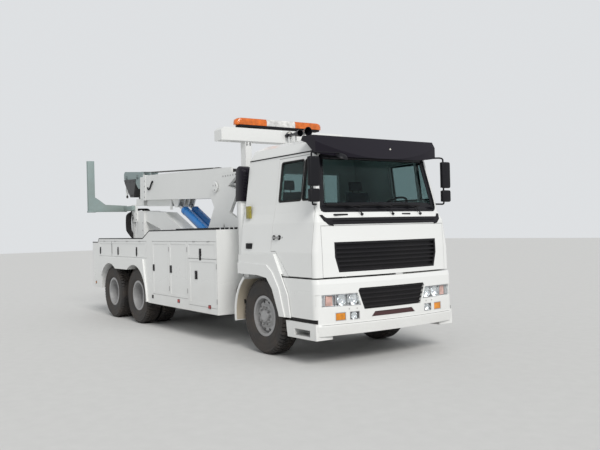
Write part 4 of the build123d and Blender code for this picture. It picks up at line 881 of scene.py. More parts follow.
@dataclass
class CabTrim:
    """Seals, handles, wipers, lamps and plates of the cab."""

    form: CabForm = field(default_factory=CabForm)
    screen_low: float = 1.995
    screen_high: float = 2.740
    screen_half_low: float = 1.025
    screen_half_high: float = 0.925
    pane_low: float = 2.150
    pane_high: float = 2.690
    glass_depth: float = 0.020

    def build(self, frame: dict[str, Any]) -> None:
        """Dress the cab's nodes and add its trim."""
        dress(frame, WHITE, "cab_shell", "front_flap", "cab_door_left", "cab_door_right")
        dress(frame, CAB_GLASS, "cab_glass", "door_glass_left", "door_glass_right")
        dress(frame, BLACK_MOULDING, "mirrors", "upper_grille")
        dress(frame, VISOR_BLACK, "sun_visor")
        dress(frame, CABIN_GREY, "cab_interior")
        self.screen_seal()
        for side in Side:
            self.window_seals(side)
            self.door_handle(side)
            self.flank_marks(side)
        self.mirrors()
        self.cowl()
        self.cowl_ends()
        self.wipers()
        self.visor_lamps()

    def gasket(self, corners: Sequence[Flat], radius: float, put: Callable[[float, float, float], Vector],
               widths: Sequence[Flat], shape: Shape | None = None) -> Shape:
        """Make a gasket that follows an outline.

        Args:
            corners: The opening's corners, anticlockwise as put sees them.
            radius: Radius of the corners.
            put: Point for a place of the outline and a lift.
            widths: Inset and lift of each loop of the gasket.
            shape: The mesh it goes into, or None for a new one.

        Returns:
            The mesh.
        """
        loops = [[put(a, b, lift) for a, b in rounded_loop(corners, radius, inset)] for inset, lift in widths]
        return (shape or Shape()).bridge(loops)

    def screen_seal(self) -> None:
        """Gasket of the windscreen with the black border on its glass."""
        low, high, deep = self.screen_half_low, self.screen_half_high, -self.glass_depth
        corners = [(-low, self.screen_low), (low, self.screen_low), (high, self.screen_high),
                   (-high, self.screen_high)]
        widths = [(-0.018, 0.0), (-0.014, 0.006), (0.006, 0.006), (0.016, deep), (0.060, deep),
                  (0.060, deep - 0.002)]
        self.gasket(corners, 0.05, self.form.front, widths).place("windscreen_seal", BLACK_GLOSS, "cab")

    def window_seals(self, side: Side) -> None:
        """Rubber frames round the two panes of a door."""
        low, high, deep = self.pane_low, self.pane_high, -self.glass_depth
        widths = [(-0.012, 0.0), (-0.008, 0.005), (0.006, 0.004), (0.020, deep), (0.020, deep - 0.002)]
        shape = Shape()
        for pane in ([(0.400, low), (0.935, low), (0.935, high), (0.400, high)],
                     [(0.965, low), (1.165, low), (1.045, high), (0.965, high)]):
            self.gasket(pane, 0.03, lambda x, z, lift: self.form.side(side, x, z, lift), widths, shape)
        shape.place(f"door_window_seal_{side.label}", RUBBER, f"cab_door_{side.label}")

    def door_handle(self, side: Side) -> None:
        """Handle bar across a recess with two dark ends."""
        z, x0, x1 = 1.66, 0.385, 0.520
        door = f"cab_door_{side.label}"
        depth = abs(self.form.side(side, x0, z).y)
        plate, bar, lock = Shape(), Shape(), Shape()
        bar.block(side.at(x0 - 0.01, depth + 0.014, z - 0.014), side.at(x1 + 0.01, depth + 0.03, z + 0.014),
                  0.008, 3)
        for x in (x0, x1):
            near = self.form.side(side, x, z, -0.004)
            plate.rod(near, near + side.at(0, 0.012, 0), 0.034, sides=24, bevel=0.003)
            bar.rod(side.at(x, depth, z), side.at(x, depth + 0.02, z), 0.012)
        spot = self.form.side(side, x1 + 0.07, z, -0.002)
        lock.rod(spot, spot + side.at(0, 0.006, 0), 0.012, sides=20, bevel=0.002)
        plate.place(f"door_handle_base_{side.label}", BLACK_MOULDING, door)
        bar.place(f"door_handle_{side.label}", STEEL, door)
        lock.place(f"door_lock_{side.label}", STEEL, door)

    def flank_marks(self, side: Side) -> None:
        """Reflector, dark vent and gutter on the cab's flank."""
        Shape().block(side.at(-0.392, 1.126, 1.94), side.at(-0.282, 1.160, 2.12), 0.004).place(
            f"cab_reflector_{side.label}", REFLECTOR_YELLOW, "cab")
        vent = Shape()
        vent.block(side.at(-0.343, 1.180, 1.500), side.at(-0.183, 1.206, 1.580), 0.004)
        for i in range(4):
            z = 1.512 + 0.017 * i
            vent.block(side.at(-0.333, 1.2, z), side.at(-0.193, 1.211, z + 0.007), 0.002, 1)
        vent.place(f"cab_vent_{side.label}", BLACK_MOULDING, "cab")
        gutter = [self.form.side(side, x, 2.79, 0.004) for x in (-0.48, 0.0, 0.5, 1.0, 1.1)]
        sweep(f"roof_gutter_{side.label}", gutter, 0.008, RUBBER, "cab", smooth=False)

    def mirrors(self) -> None:
        """Rounded mirror heads on bent tube arms, with glass on their rear faces."""
        heads, glass, dish, face = (Shape() for _ in range(4))
        arm = (1.320, 1.180)
        for z0, z1 in ((2.110, 2.280), (2.310, 2.690)):
            heads.block((1.333, 1.097, z0), (1.394, 1.263, z1), 0.026, 5)
            heads.block((1.331, 1.102, z0 + 0.006), (1.345, 1.258, z1 - 0.006), 0.006)
            glass.block((1.328, 1.110, z0 + 0.014), (1.332, 1.250, z1 - 0.014), 0.0015, 1)
        for z in (2.18, 2.40, 2.60):
            heads.rod((*arm, z), (1.345, 1.180, z), 0.018, sides=16, bevel=0.003)
        heads.mirrored().place("mirror_heads", BLACK_MOULDING, "cab", replaces=["mirrors"])
        glass.mirrored().place("mirror_glass", MIRROR, "cab")
        route = [(1.112, 0.945, 2.745), (1.240, 1.080, 2.756),
                 *((*arm, z) for z in (2.752, 2.690, 2.4, 2.130, 2.078)),
                 (1.290, 1.130, 2.080), (1.232, 1.045, 2.085)]
        for side in Side:
            sweep(f"mirror_arm_{side.label}", [side.at(*p) for p in route], 0.012, BLACK_MOULDING, "cab")
        centre = Vector((1.385, -0.735, 2.705))
        axis = Vector((-0.45, -0.1, -0.85)).normalized()
        dish.lathe([(0, -0.030), (0.050, -0.022), (0.082, 0.004), (0.088, 0.018), (0.083, 0.020),
                    (0.078, 0.010), (0, 0.010)], centre, axis, 40)
        dish.rod((1.322, -1.170, 2.748), (1.380, -0.790, 2.742), 0.008, sides=12)
        dish.rod((1.380, -0.790, 2.742), centre, 0.012, sides=12)
        dish.place("front_mirror", BLACK_MOULDING, "cab")
        face.rod(centre + axis * 0.008, centre + axis * 0.014, 0.077, sides=40, bevel=0.001)
        face.place("front_mirror_glass", MIRROR, "cab")

    def cowl(self) -> None:
        """Dark strip with rounded ends below the windscreen."""
        corners = [(-0.93, 1.818), (0.93, 1.818), (1.045, 1.905), (-1.045, 1.905)]
        widths = [(0.0, 0.0), (0.004, 0.010), (0.038, 0.010), (0.041, 0.0)]
        self.gasket(corners, 0.03, self.form.front, widths).place("cowl_rim", BLACK_MOULDING, "cab")
        outline = rounded_loop(corners, 0.03, 0.02)
        fill = Shape().loft([[self.form.front(y, z, lift) for y, z in outline] for lift in (0.004, -0.004)])
        bmesh.ops.triangulate(fill.mesh, faces=[f for f in fill.mesh.faces if len(f.verts) > 4])
        fill.place("cowl_panel", BLACK_GLOSS, "cab")

    def cowl_ends(self) -> None:
        """Raised ends of the dark strip, and the black foot of the windscreen."""
        ends, foot = Shape(), Shape()
        for side in Side:
            rails = []
            for a in (0.0, 0.25, 0.5, 0.75, 1.0):
                row = ((0.900 + 0.02 * a, 1.800 + 0.100 * a), (0.970 + 0.005 * a, 1.815 + 0.090 * a),
                       (1.035 - 0.035 * a, 1.868 + 0.045 * a), (1.068 - 0.040 * a, 1.945 + 0.002 * a))
                rails.append([self.form.front(side.value * y, z, 0.009) for y, z in row])
            ends.strip(rails, Vector((-0.012, 0, 0)))
        half, columns, rows = 0.985, 28, 3
        rails = []
        for k in range(rows + 1):
            row = []
            for i in range(columns + 1):
                y = -half + 2 * half * i / columns
                row.append(self.form.front(y, 2.040 + 0.068 * k / rows - 0.018 * (y / half) ** 6,
                                           0.002 - self.glass_depth))
            rails.append(row)
        foot.strip(rails, Vector((-0.004, 0, 0)))
        ends.place("cowl_ends", BLACK_MOULDING, "cab")
        foot.place("screen_foot", BLACK_GLOSS, "cab")

    def wipers(self) -> None:
        """Three wipers parked along the foot of the windscreen, with their spindles."""
        arms, blades, nozzles = Shape(), Shape(), Shape()
        for pivot in (-0.42, 0.12, 0.66):
            foot = self.form.front(pivot, 1.945)
            knee = self.form.front(pivot - 0.05, 2.02, 0.03)
            arms.rod(foot, foot + Vector((0.03, 0, 0.004)), 0.016, sides=16, bevel=0.003)
            arms.rod(foot + Vector((0.028, 0, 0)), knee, 0.009, sides=10, end_radius=0.007)
            arms.rod(knee, self.form.front(pivot - 0.27, 2.085, 0.022), 0.006, sides=8)
            left = self.form.front(pivot + 0.02, 2.058, 0.012)
            right = self.form.front(pivot - 0.53, 2.070, 0.012)
            blades.rod(left, right, 0.009, sides=8)
            over = Vector((0.012, 0, 0.004))
            blades.rod(left.lerp(right, 0.3) + over, left.lerp(right, 0.7) + over, 0.006, sides=8)
        for y0, y1 in ((-0.86, -0.64), (0.3, 0.46)):
            a = self.form.front(y0, 1.938)
            b = self.form.front(y1, 1.952, 0.014)
            nozzles.block((min(a.x, b.x) - 0.004, y0, 1.936), (max(a.x, b.x), y1, 1.956), 0.004)
        arms.place("wiper_arms", BLACK_MOULDING, "cab")
        blades.place("wiper_blades", RUBBER, "cab")
        nozzles.place("washer_bars", BLACK_MOULDING, "cab")

    def visor_lamps(self) -> None:
        """Marker lamps on the visor's face."""
        shape = Shape()
        for y in (-0.436, 0.166):
            base = Vector((1.308 - y * y / 9.0, y, 2.83))
            shape.rod(base, base + Vector((0.016, 0, 0.01)), 0.011, sides=16, bevel=0.003)
        shape.place("visor_lamps", LAMP_WHITE, "cab")


# Wheels


@dataclass
class Tyres:
    """Radial tyres with shoulder blocks and ribs."""

    radius: float = TYRE_RADIUS
    half_width: float = 0.144
    bead: float = 0.262
    groove: float = 0.013
    crown: float = 0.045
    pitches: int = 54
    per_pitch: int = 4
    single: ClassVar[tuple[float, ...]] = (1.005,)
    twin: ClassVar[tuple[float, ...]] = (0.725, 1.055)

    def outline(self) -> list[Flat]:
        """Section of the casing below the blocks: radius and distance from its middle plane."""
        w, r, b = self.half_width, self.radius, self.bead
        outer = [(b, 0.80), (b + 0.016, 0.84), (b + 0.030, 0.80), (b + 0.048, 0.90), (b + 0.062, 0.93),
                 (b + 0.105, 0.99), (b + 0.130, 1.0), (b + 0.150, 0.985), (b + 0.155, 1.0),
                 (r - 0.075, 0.985), (r - 0.05, 0.955), (r - 0.014 - self.groove, 0.86)]
        half = outer + [(r - self.groove, share) for share in (0.70, 0.44, 0.38, 0.10, 0.04)]
        inner = [(r - 0.042, 0.66), (b + 0.110, 0.80), (b, 0.62)]
        right = [(radius, -share * w) for radius, share in half]
        left = [(radius, share * w) for radius, share in reversed(half)]
        inside = [(radius, share * w) for radius, share in reversed(inner)]
        inside += [(radius, -share * w) for radius, share in inner]
        return right + left + inside

    def build_one(self, shape: Shape, centre: Vector) -> None:
        """Spin one tyre and raise its blocks."""
        steps = self.pitches * self.per_pitch
        part = Shape()
        part.lathe(self.outline(), centre, (0, 1, 0), steps)
        lugs = []
        for face in part.mesh.faces:
            middle = face.calc_center_median() - centre
            if math.hypot(middle.x, middle.z) < self.radius - self.crown:
                continue
            share = abs(middle.y) / self.half_width
            turn = (math.atan2(middle.z, middle.x) / math.tau) % 1.0 * steps
            phase = int(turn) % self.per_pitch
            shifted = int(turn + self.per_pitch / 2) % self.per_pitch
            if share > 0.44 and phase != 0 or 0.10 < share < 0.38 and shifted != 0 or share < 0.04:
                lugs.append(face)
        for vert in part.lift(lugs, (0, 0, 0)):
            arm = vert.co - centre
            reach = math.hypot(arm.x, arm.z)
            out = Vector((arm.x, 0, arm.z)) / reach
            slope = max(0.0, min(1.0, (self.radius - self.groove - reach) / 0.03))
            rise = min(self.radius, reach + self.groove * (1 - 0.35 * slope)) - reach
            spread = math.copysign(self.groove * 0.5 * slope, arm.y)
            vert.co = vert.co + out * rise + Vector((0, spread, 0))
        data = bpy.data.meshes.new("tyre_part")
        part.mesh.to_mesh(data)
        part.mesh.free()
        shape.mesh.from_mesh(data)
        bpy.data.meshes.remove(data)

    def build(self) -> None:
        """Replace the plain tyres of all six wheels."""
        for axle, x in AXLES:
            offsets = self.single if axle == "front" else self.twin
            for side in Side:
                shape = Shape()
                for y in offsets:
                    self.build_one(shape, side.at(x, y, self.radius))
                node = f"{axle}_{side.label}"
                shape.place(f"tread_{node}", TYRE, f"wheel_{node}", [f"tyre_{node}"], 28.0)


@dataclass
class Wheels:
    """Rims' paint, studs and nuts."""

    studs: int = 10
    nut_radius: float = 0.017
    front: ClassVar[Flat] = (1.101, 0.1225)
    driven: ClassVar[Flat] = (0.904, 0.168)

    def build(self, frame: dict[str, Any]) -> None:
        """Dress the rims and add their nuts."""
        for axle, x in AXLES:
            y, circle = self.front if axle == "front" else self.driven
            for side in Side:
                node = f"wheel_{axle}_{side.label}"
                dress(frame, RIM_GREY, node)
                hub = side.at(x, y, TYRE_RADIUS)
                seat = hub + Vector((circle, 0, 0))
                out = side.at(0, 1, 0)
                nut = Shape()
                nut.rod(seat - out * 0.004, seat + out * 0.004, self.nut_radius * 1.25)
                nut.rod(seat, seat + out * 0.026, self.nut_radius, sides=6, bevel=0.002)
                nut.rod(seat + out * 0.02, seat + out * 0.04, self.nut_radius * 0.6, sides=12, bevel=0.002)
                nut.round_array(self.studs, hub)
                nut.place(f"wheel_nuts_{axle}_{side.label}", STEEL, node)


# Body, tower and boom


def bolts(shape: Shape, spots: Iterable[Sequence[float]], radius: float = 0.012,
          axis: Sequence[float] = (0, 1, 0)) -> Shape:
    """Add hexagon bolt heads on washers.

    Args:
        shape: The mesh they go into.
        spots: Where each sits on its surface.
        radius: Radius of a head.
        axis: The way the heads stand out.

    Returns:
        The mesh.
    """
    out = Vector(axis).normalized()
    for spot in spots:
        seat = Vector(spot)
        shape.rod(seat - out * 0.003, seat + out * 0.002, radius * 1.5, sides=16)
        shape.rod(seat, seat + out * radius * 0.8, radius, sides=6, bevel=0.0015)
    return shape


@dataclass
class LockerBody:
    """Edge trim, hinges, latches, seams and marker lamps of the locker bodies."""

    half_width: float = 1.24
    lid_hinges: ClassVar[dict[str, tuple[float, float, float, float, str]]] = {
        "flap_rear": (-6.650, -3.990, 1.290, 1.600, "top"),
        "door_tall_rear": (-3.735, -2.985, 0.640, 1.600, "front"),
        "door_tall_front": (-2.975, -2.248, 0.640, 1.600, "front"),
        "flap_front": (-2.238, -1.205, 1.328, 1.600, "top"),
        "door_low_front": (-2.200, -1.205, 0.555, 1.318, "front"),
    }
    latches: ClassVar[tuple[tuple[str, float, float, float, float], ...]] = (
        ("flap_rear", -6.575, 1.400, 0.050, 0.150),
        ("flap_rear", -5.498, 1.400, 0.050, 0.170),
        ("flap_rear", -4.490, 1.400, 0.050, 0.180),
        ("door_tall_rear", -3.670, 1.120, 0.075, 0.120),
        ("door_tall_front", -2.915, 1.118, 0.080, 0.130),
        ("flap_front", -1.760, 1.393, 0.070, 0.190),
        ("door_low_front", -1.924, 1.054, 0.090, 0.140),
    )

    def build(self) -> None:
        """Add all trim on both sides."""
        for side in Side:
            self.edge_trim(side)
            self.latch_plates(side)
        self.hinges()
        self.markers()
        self.rope_eyes()
        self.rear_face()

    def edge_trim(self, side: Side) -> None:
        """Black edging along the body's stepped top."""
        y = self.half_width - 0.006
        line = [(-7.076, 1.579), (-6.722, 1.579), (-6.662, 1.657), (-4.172, 1.657), (-3.852, 1.797),
                (-1.184, 1.797)]
        sweep(f"body_edging_{side.label}", [side.at(x, y, z) for x, z in line], 0.011, RUBBER, smooth=False)

    def latch_plates(self, side: Side) -> None:
        """Recessed paddle latches, each on its own lid."""
        y = self.half_width
        for name in self.lid_hinges:
            plate, paddle = Shape(), Shape()
            for lid, x, z, w, h in self.latches:
                if lid != name:
                    continue
                plate.block(side.at(x - w / 2, y - 0.006, z - h / 2),
                            side.at(x + w / 2, y + 0.004, z + h / 2), 0.004)
                paddle.block(side.at(x - w * 0.3, y + 0.002, z - h * 0.36),
                             side.at(x + w * 0.3, y + 0.012, z + h * 0.3), 0.005, 3)
                foot = side.at(x, y + 0.002, z - h * 0.42)
                paddle.rod(foot, foot + side.at(0, 0.006, 0), 0.007, sides=12)
            body = f"{name}_{side.label}"
            plate.place(f"latch_plate_{body}", BLACK_MOULDING, body)
            paddle.place(f"latch_{body}", BLACK_GLOSS, body)
        Shape().block(side.at(-5.867, y - 0.003, 1.292), side.at(-5.859, y + 0.0015, 1.598), 0.0).place(
            f"lid_seam_{side.label}", RUBBER, f"flap_rear_{side.label}")

    def hinges(self) -> None:
        """Hinge knuckles on the axes of the lids."""
        shape = Shape()
        y = self.half_width
        for x0, x1, z0, z1, edge in self.lid_hinges.values():
            if edge == "top":
                count = 4 if x1 - x0 > 1.5 else 2
                spots = [(x0 + (x1 - x0) * (i + 0.5) / count, y, z1 + 0.003) for i in range(count)]
                reach = Vector((0.045, 0, 0))
            else:
                spots = [(x1 + 0.003, y, z0 + (z1 - z0) * share) for share in (0.14, 0.86)]
                reach = Vector((0, 0, 0.04))
            for spot in spots:
                shape.rod(Vector(spot) - reach, Vector(spot) + reach, 0.008, sides=12)
        shape.mirrored().place("lid_hinges", STEEL)

    def markers(self) -> None:
        """Red, amber and dark marker lamps low on the body's sides."""
        y = self.half_width
        red, dark, amber = Shape(), Shape(), Shape()
        for x, z in ((-2.612, 0.578), (-1.460, 0.564)):
            red.block((x - 0.035, y - 0.002, z - 0.025), (x + 0.035, y + 0.014, z + 0.025), 0.006, 3)
            dark.block((x - 0.042, y - 0.002, z - 0.032), (x + 0.042, y + 0.005, z + 0.032), 0.004)
        dark.rod((-5.346, y + 0.026, 1.107), (-5.346, y + 0.0345, 1.107), 0.032, sides=24, bevel=0.003)
        dark.block((-6.915, y - 0.002, 0.665), (-6.860, y + 0.006, 0.725), 0.005)
        dark.block((-3.770, y - 0.002, 0.550), (-3.700, y + 0.006, 0.612), 0.005)
        amber.block((-6.905, y + 0.003, 0.675), (-6.870, y + 0.011, 0.715), 0.004)
        red.mirrored().place("side_markers", LAMP_RED)
        dark.mirrored().place("marker_bases", BLACK_MOULDING)
        amber.mirrored().place("side_reflectors", LAMP_AMBER)

    def rope_eyes(self) -> None:
        """Row of small lashing eyes on the front part of the body's top edge."""
        eyes = Shape()
        for i in range(19):
            x = -2.66 + 0.080 * i
            eyes.block((x - 0.024, 1.196, 1.790), (x + 0.024, 1.236, 1.822), 0.007)
        for i in range(7):
            y = 0.715 + 0.080 * i
            eyes.block((-1.222, y - 0.024, 1.790), (-1.188, y + 0.024, 1.822), 0.007)
        eyes.mirrored().place("lashing_eyes", BLACK_MOULDING)

    def rear_face(self) -> None:
        """Lamp clusters, a blank plate and reflectors on the rear of the body."""
        rear = -7.080
        frame, red, amber, white = (Shape() for _ in range(4))
        frame.block((rear - 0.039, 0.75, 0.69), (rear - 0.002, 1.19, 0.81), 0.008)
        for shape, y0, y1 in ((red, 0.765, 0.895), (white, 0.905, 1.025), (amber, 1.035, 1.175)):
            shape.block((rear - 0.052, y0, 0.706), (rear - 0.036, y1, 0.794), 0.009, 3)
        red.rod((rear - 0.001, 0.95, 0.60), (rear - 0.012, 0.95, 0.60), 0.035, sides=28, bevel=0.003)
        frame.mirrored().place("lamp_housings", BLACK_MOULDING, replaces=["rear_lamps"])
        red.mirrored().place("tail_lamps", LAMP_RED)
        amber.mirrored().place("rear_indicators", LAMP_AMBER)
        white.mirrored().place("reversing_lamps", LAMP_WHITE)
        Shape().block((rear - 0.006, 0.735, 0.87), (rear, 1.205, 1.01), 0.002).place("blank_plate", WHITE)
        spots = [(rear - 0.006, y, 0.94) for y in (0.77, 1.17)]
        bolts(Shape(), spots, 0.007, (-1, 0, 0)).place("plate_screws", STEEL)


@dataclass
class BoomFrame:
    """The boom's own frame at rest: u to the rear along it, w up from its pivot."""

    pivot: Flat = (-2.860, 2.570)
    rise: float = math.radians(2.1)

    def at(self, u: float, y: float, w: float) -> Vector:
        """Point of the boom's frame in the truck's."""
        c, s = math.cos(self.rise), math.sin(self.rise)
        return Vector((self.pivot[0] - u * c + w * s, y, self.pivot[1] + u * s + w * c))


@dataclass
class BoomTrim:
    """Ropes, rollers, pins, bolts and hooks of the tower, the boom and its head."""

    frame: BoomFrame = field(default_factory=BoomFrame)
    half: float = 0.25
    high: float = 0.346
    sheaves: tuple[float, float] = (4.130, 4.810)

    def build(self) -> None:
        """Add the trim of the tower, the boom and the head."""
        self.pins()
        self.ropes()
        self.winch_turns()
        self.side_hook()
        self.head_parts()
        self.spare_hook()
        self.ram_parts()

    def pins(self) -> None:
        """Caps and keeper plates of the pivot and the cylinders' base pin."""
        shape, heads = Shape(), Shape()
        for x, z, r in ((-2.860, 2.570, 0.095), (-2.950, 1.390, 0.07)):
            cap = [(0, 0.0), (r, 0.0), (r, 0.010), (r - 0.006, 0.016), (0, 0.016)]
            shape.lathe(cap, (x, 0.350, z), (0, 1, 0), 40)
            bolts(heads, [(x + r * 0.6 * math.cos(a), 0.366, z + r * 0.6 * math.sin(a))
                          for a in (0.5, 2.6, 4.7)], 0.010)
        bolts(heads, [(-2.05 - 0.09 * i, 0.330, 2.745) for i in range(7)], 0.010)
        bolts(heads, [(-2.02, 0.330, 1.30 + 0.16 * i) for i in range(8)], 0.010)
        shape.mirrored().place("pin_caps", WHITE)
        heads.mirrored().place("tower_bolts", STEEL)
        foot = Shape()
        for x in (-3.30, -2.72, -2.14):
            foot.slab([(0.332, 1.166), (0.47, 1.166), (0.332, 1.38)], 0, x - 0.008, x + 0.008)
        foot.mirrored().place("tower_gussets", WHITE)

    def ropes(self) -> None:
        """Two taut wire ropes from the drums over the boom's top to the head's sheaves."""
        at = self.frame.at
        for side in Side:
            y = 0.09 * side.value
            route = [at(u, y, w) for u, w in ((-0.09, 0.318), (0.34, self.high + 0.030), (3.6, 0.428),
                                              (self.sheaves[0], 0.452))]
            rope = sweep(f"winch_rope_{side.label}", route, 0.008, ROPE, None, 2, smooth=False)
            shift = Vector((FRONT_AXLE_X, 0, 0))
            tuple(at(0.4, y, 0.38) + shift)
            tuple(at(3.9, y, 0.44) + shift)
            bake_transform(rope)
        roller = Shape()
        top = self.high
        roller.rod(at(0.345, -0.19, top + 0.012), at(0.345, 0.19, top + 0.012), 0.010)
        for y in (-0.19, 0.0, 0.19):
            roller.block(at(0.37, y - 0.012, top - 0.004), at(0.32, y + 0.012, top + 0.026))
        roller.place("rope_roller", STEEL, "boom")

    def winch_turns(self) -> None:
        """Rope wound on both drums."""
        shape = Shape()
        turns = 11
        for y0, y1 in ((-0.203, -0.028), (0.028, 0.203)):
            pitch = (y1 - y0) / turns
            outline = [(0.100, y0)]
            for i in range(turns):
                outline += [(r, y0 + pitch * i + pitch * share) for r, share in
                            ((0.106, 0.04), (0.1125, 0.25), (0.1140, 0.5), (0.1125, 0.75), (0.106, 0.96))]
            outline.append((0.100, y1))
            shape.lathe(outline, self.frame.at(-0.09, 0, 0.205), (0, 1, 0), 48)
        shape.place("wound_rope", ROPE, "boom")

    def side_hook(self) -> None:
        """Black hooks on both sides of the boom near its rear end, and bolt rows on its collar."""
        at = self.frame.at
        for side in Side:
            y = side.value * (self.half + 0.022)
            route = [at(u, y, w) for u, w in ((3.10, 0.185), (3.135, 0.155), (3.20, 0.075), (3.26, 0.02),
                                              (3.33, 0.03), (3.345, 0.075))]
            sweep(f"boom_hook_{side.label}", route, 0.016, BLACK_MOULDING, "boom")
        pads, heads = Shape(), Shape()
        pads.rod(at(3.10, self.half - 0.002, 0.19), at(3.10, self.half + 0.026, 0.19), 0.024, bevel=0.003)
        bolts(heads, [at(3.555, self.half + 0.008, w) for w in (-0.14, -0.02, 0.10, 0.22)], 0.011)
        pads.rod(at(0, self.half + 0.013, 0), at(0, self.half + 0.019, 0), 0.075, sides=36, bevel=0.002)
        pads.mirrored().place("boom_bosses", BLACK_MOULDING, "boom")
        heads.mirrored().place("boom_bolts", STEEL, "boom")

    def head_parts(self) -> None:
        """Grooved rims on the sheaves, pin heads and the hook block's bolts."""
        at = self.frame.at
        rims, heads = Shape(), Shape()
        rim = [(0.09, -0.034), (0.122, -0.034), (0.124, -0.022), (0.117, -0.008), (0.117, 0.008),
               (0.124, 0.022), (0.122, 0.034), (0.09, 0.034)]
        for u in self.sheaves:
            for y in (-0.090, 0.090):
                rims.lathe(rim, at(u, y, 0.330))
            heads.rod(at(u, 0.203, 0.330), at(u, 0.2045, 0.330), 0.045, sides=28)
            bolts(heads, [at(u + 0.02 * s, 0.2045, 0.330) for s in (-1, 1)], 0.006)
        spots = ((4.33, 0.24), (4.58, 0.24), (4.83, 0.24), (4.42, -0.08), (4.50, -0.08))
        bolts(heads, [at(u, 0.202, w) for u, w in spots], 0.012)
        rims.place("sheave_rims", STEEL, "boom_extension")
        heads.mirrored().place("head_pins", DRUM_BLACK, "boom_extension")
        Shape().block(at(4.50, -0.010, -0.205), at(4.47, 0.010, -0.150), 0.004).place(
            "hook_latch", STEEL, "boom_extension")

    def spare_hook(self) -> None:
        """Second line's pale ring and hook, hung from the head's outer end."""
        at = self.frame.at
        spot = at(4.905, -0.150, 0.335)
        line = Shape()
        line.rod(spot, spot + Vector((0, 0, -0.20)), 0.010, sides=10)
        line.lathe([(0.026, -0.014), (0.034, -0.014), (0.034, 0.014), (0.026, 0.014)],
                   spot + Vector((0, 0, -0.45)), (0, 1, 0), 28)
        line.place("spare_line", ROPE, "boom_extension")
        ring = [spot + Vector((0.052 * math.sin(a), 0, -0.30 + 0.110 * math.cos(a)))
                for a in (math.tau * i / 12 for i in range(13))]
        sweep("spare_ring", ring, 0.015, WHITE, "boom_extension")

    def ram_parts(self) -> None:
        """Ports, hoses and bands of the lift cylinders."""
        base = Vector((-2.950, 0, 1.390))
        eye = self.frame.at(2.040, 0, -0.310)
        run = (eye - base).normalized()
        up = run.cross(Vector((0, 1, 0)))
        up *= math.copysign(1.0, up.z)
        bands, pipes = Shape(), Shape()
        for y in (-0.115, 0.115):
            for reach in (0.30, 1.80):
                middle = base + run * reach + Vector((0, y, 0))
                bands.lathe([(0.079, -0.02), (0.086, -0.02), (0.086, 0.02), (0.079, 0.02)], middle, run, 36)
                pipes.rod(middle + up * 0.075, middle + up * 0.112, 0.016, sides=12)
            start = base + run * 0.30 + Vector((0, y, 0)) + up * 0.104
            pipes.rod(start, start + run * 1.5, 0.008, sides=10)
        bands.place("ram_bands", RAM_BLUE, "lift_barrels")
        pipes.place("ram_pipes", RAM_BLUE, "lift_barrels")


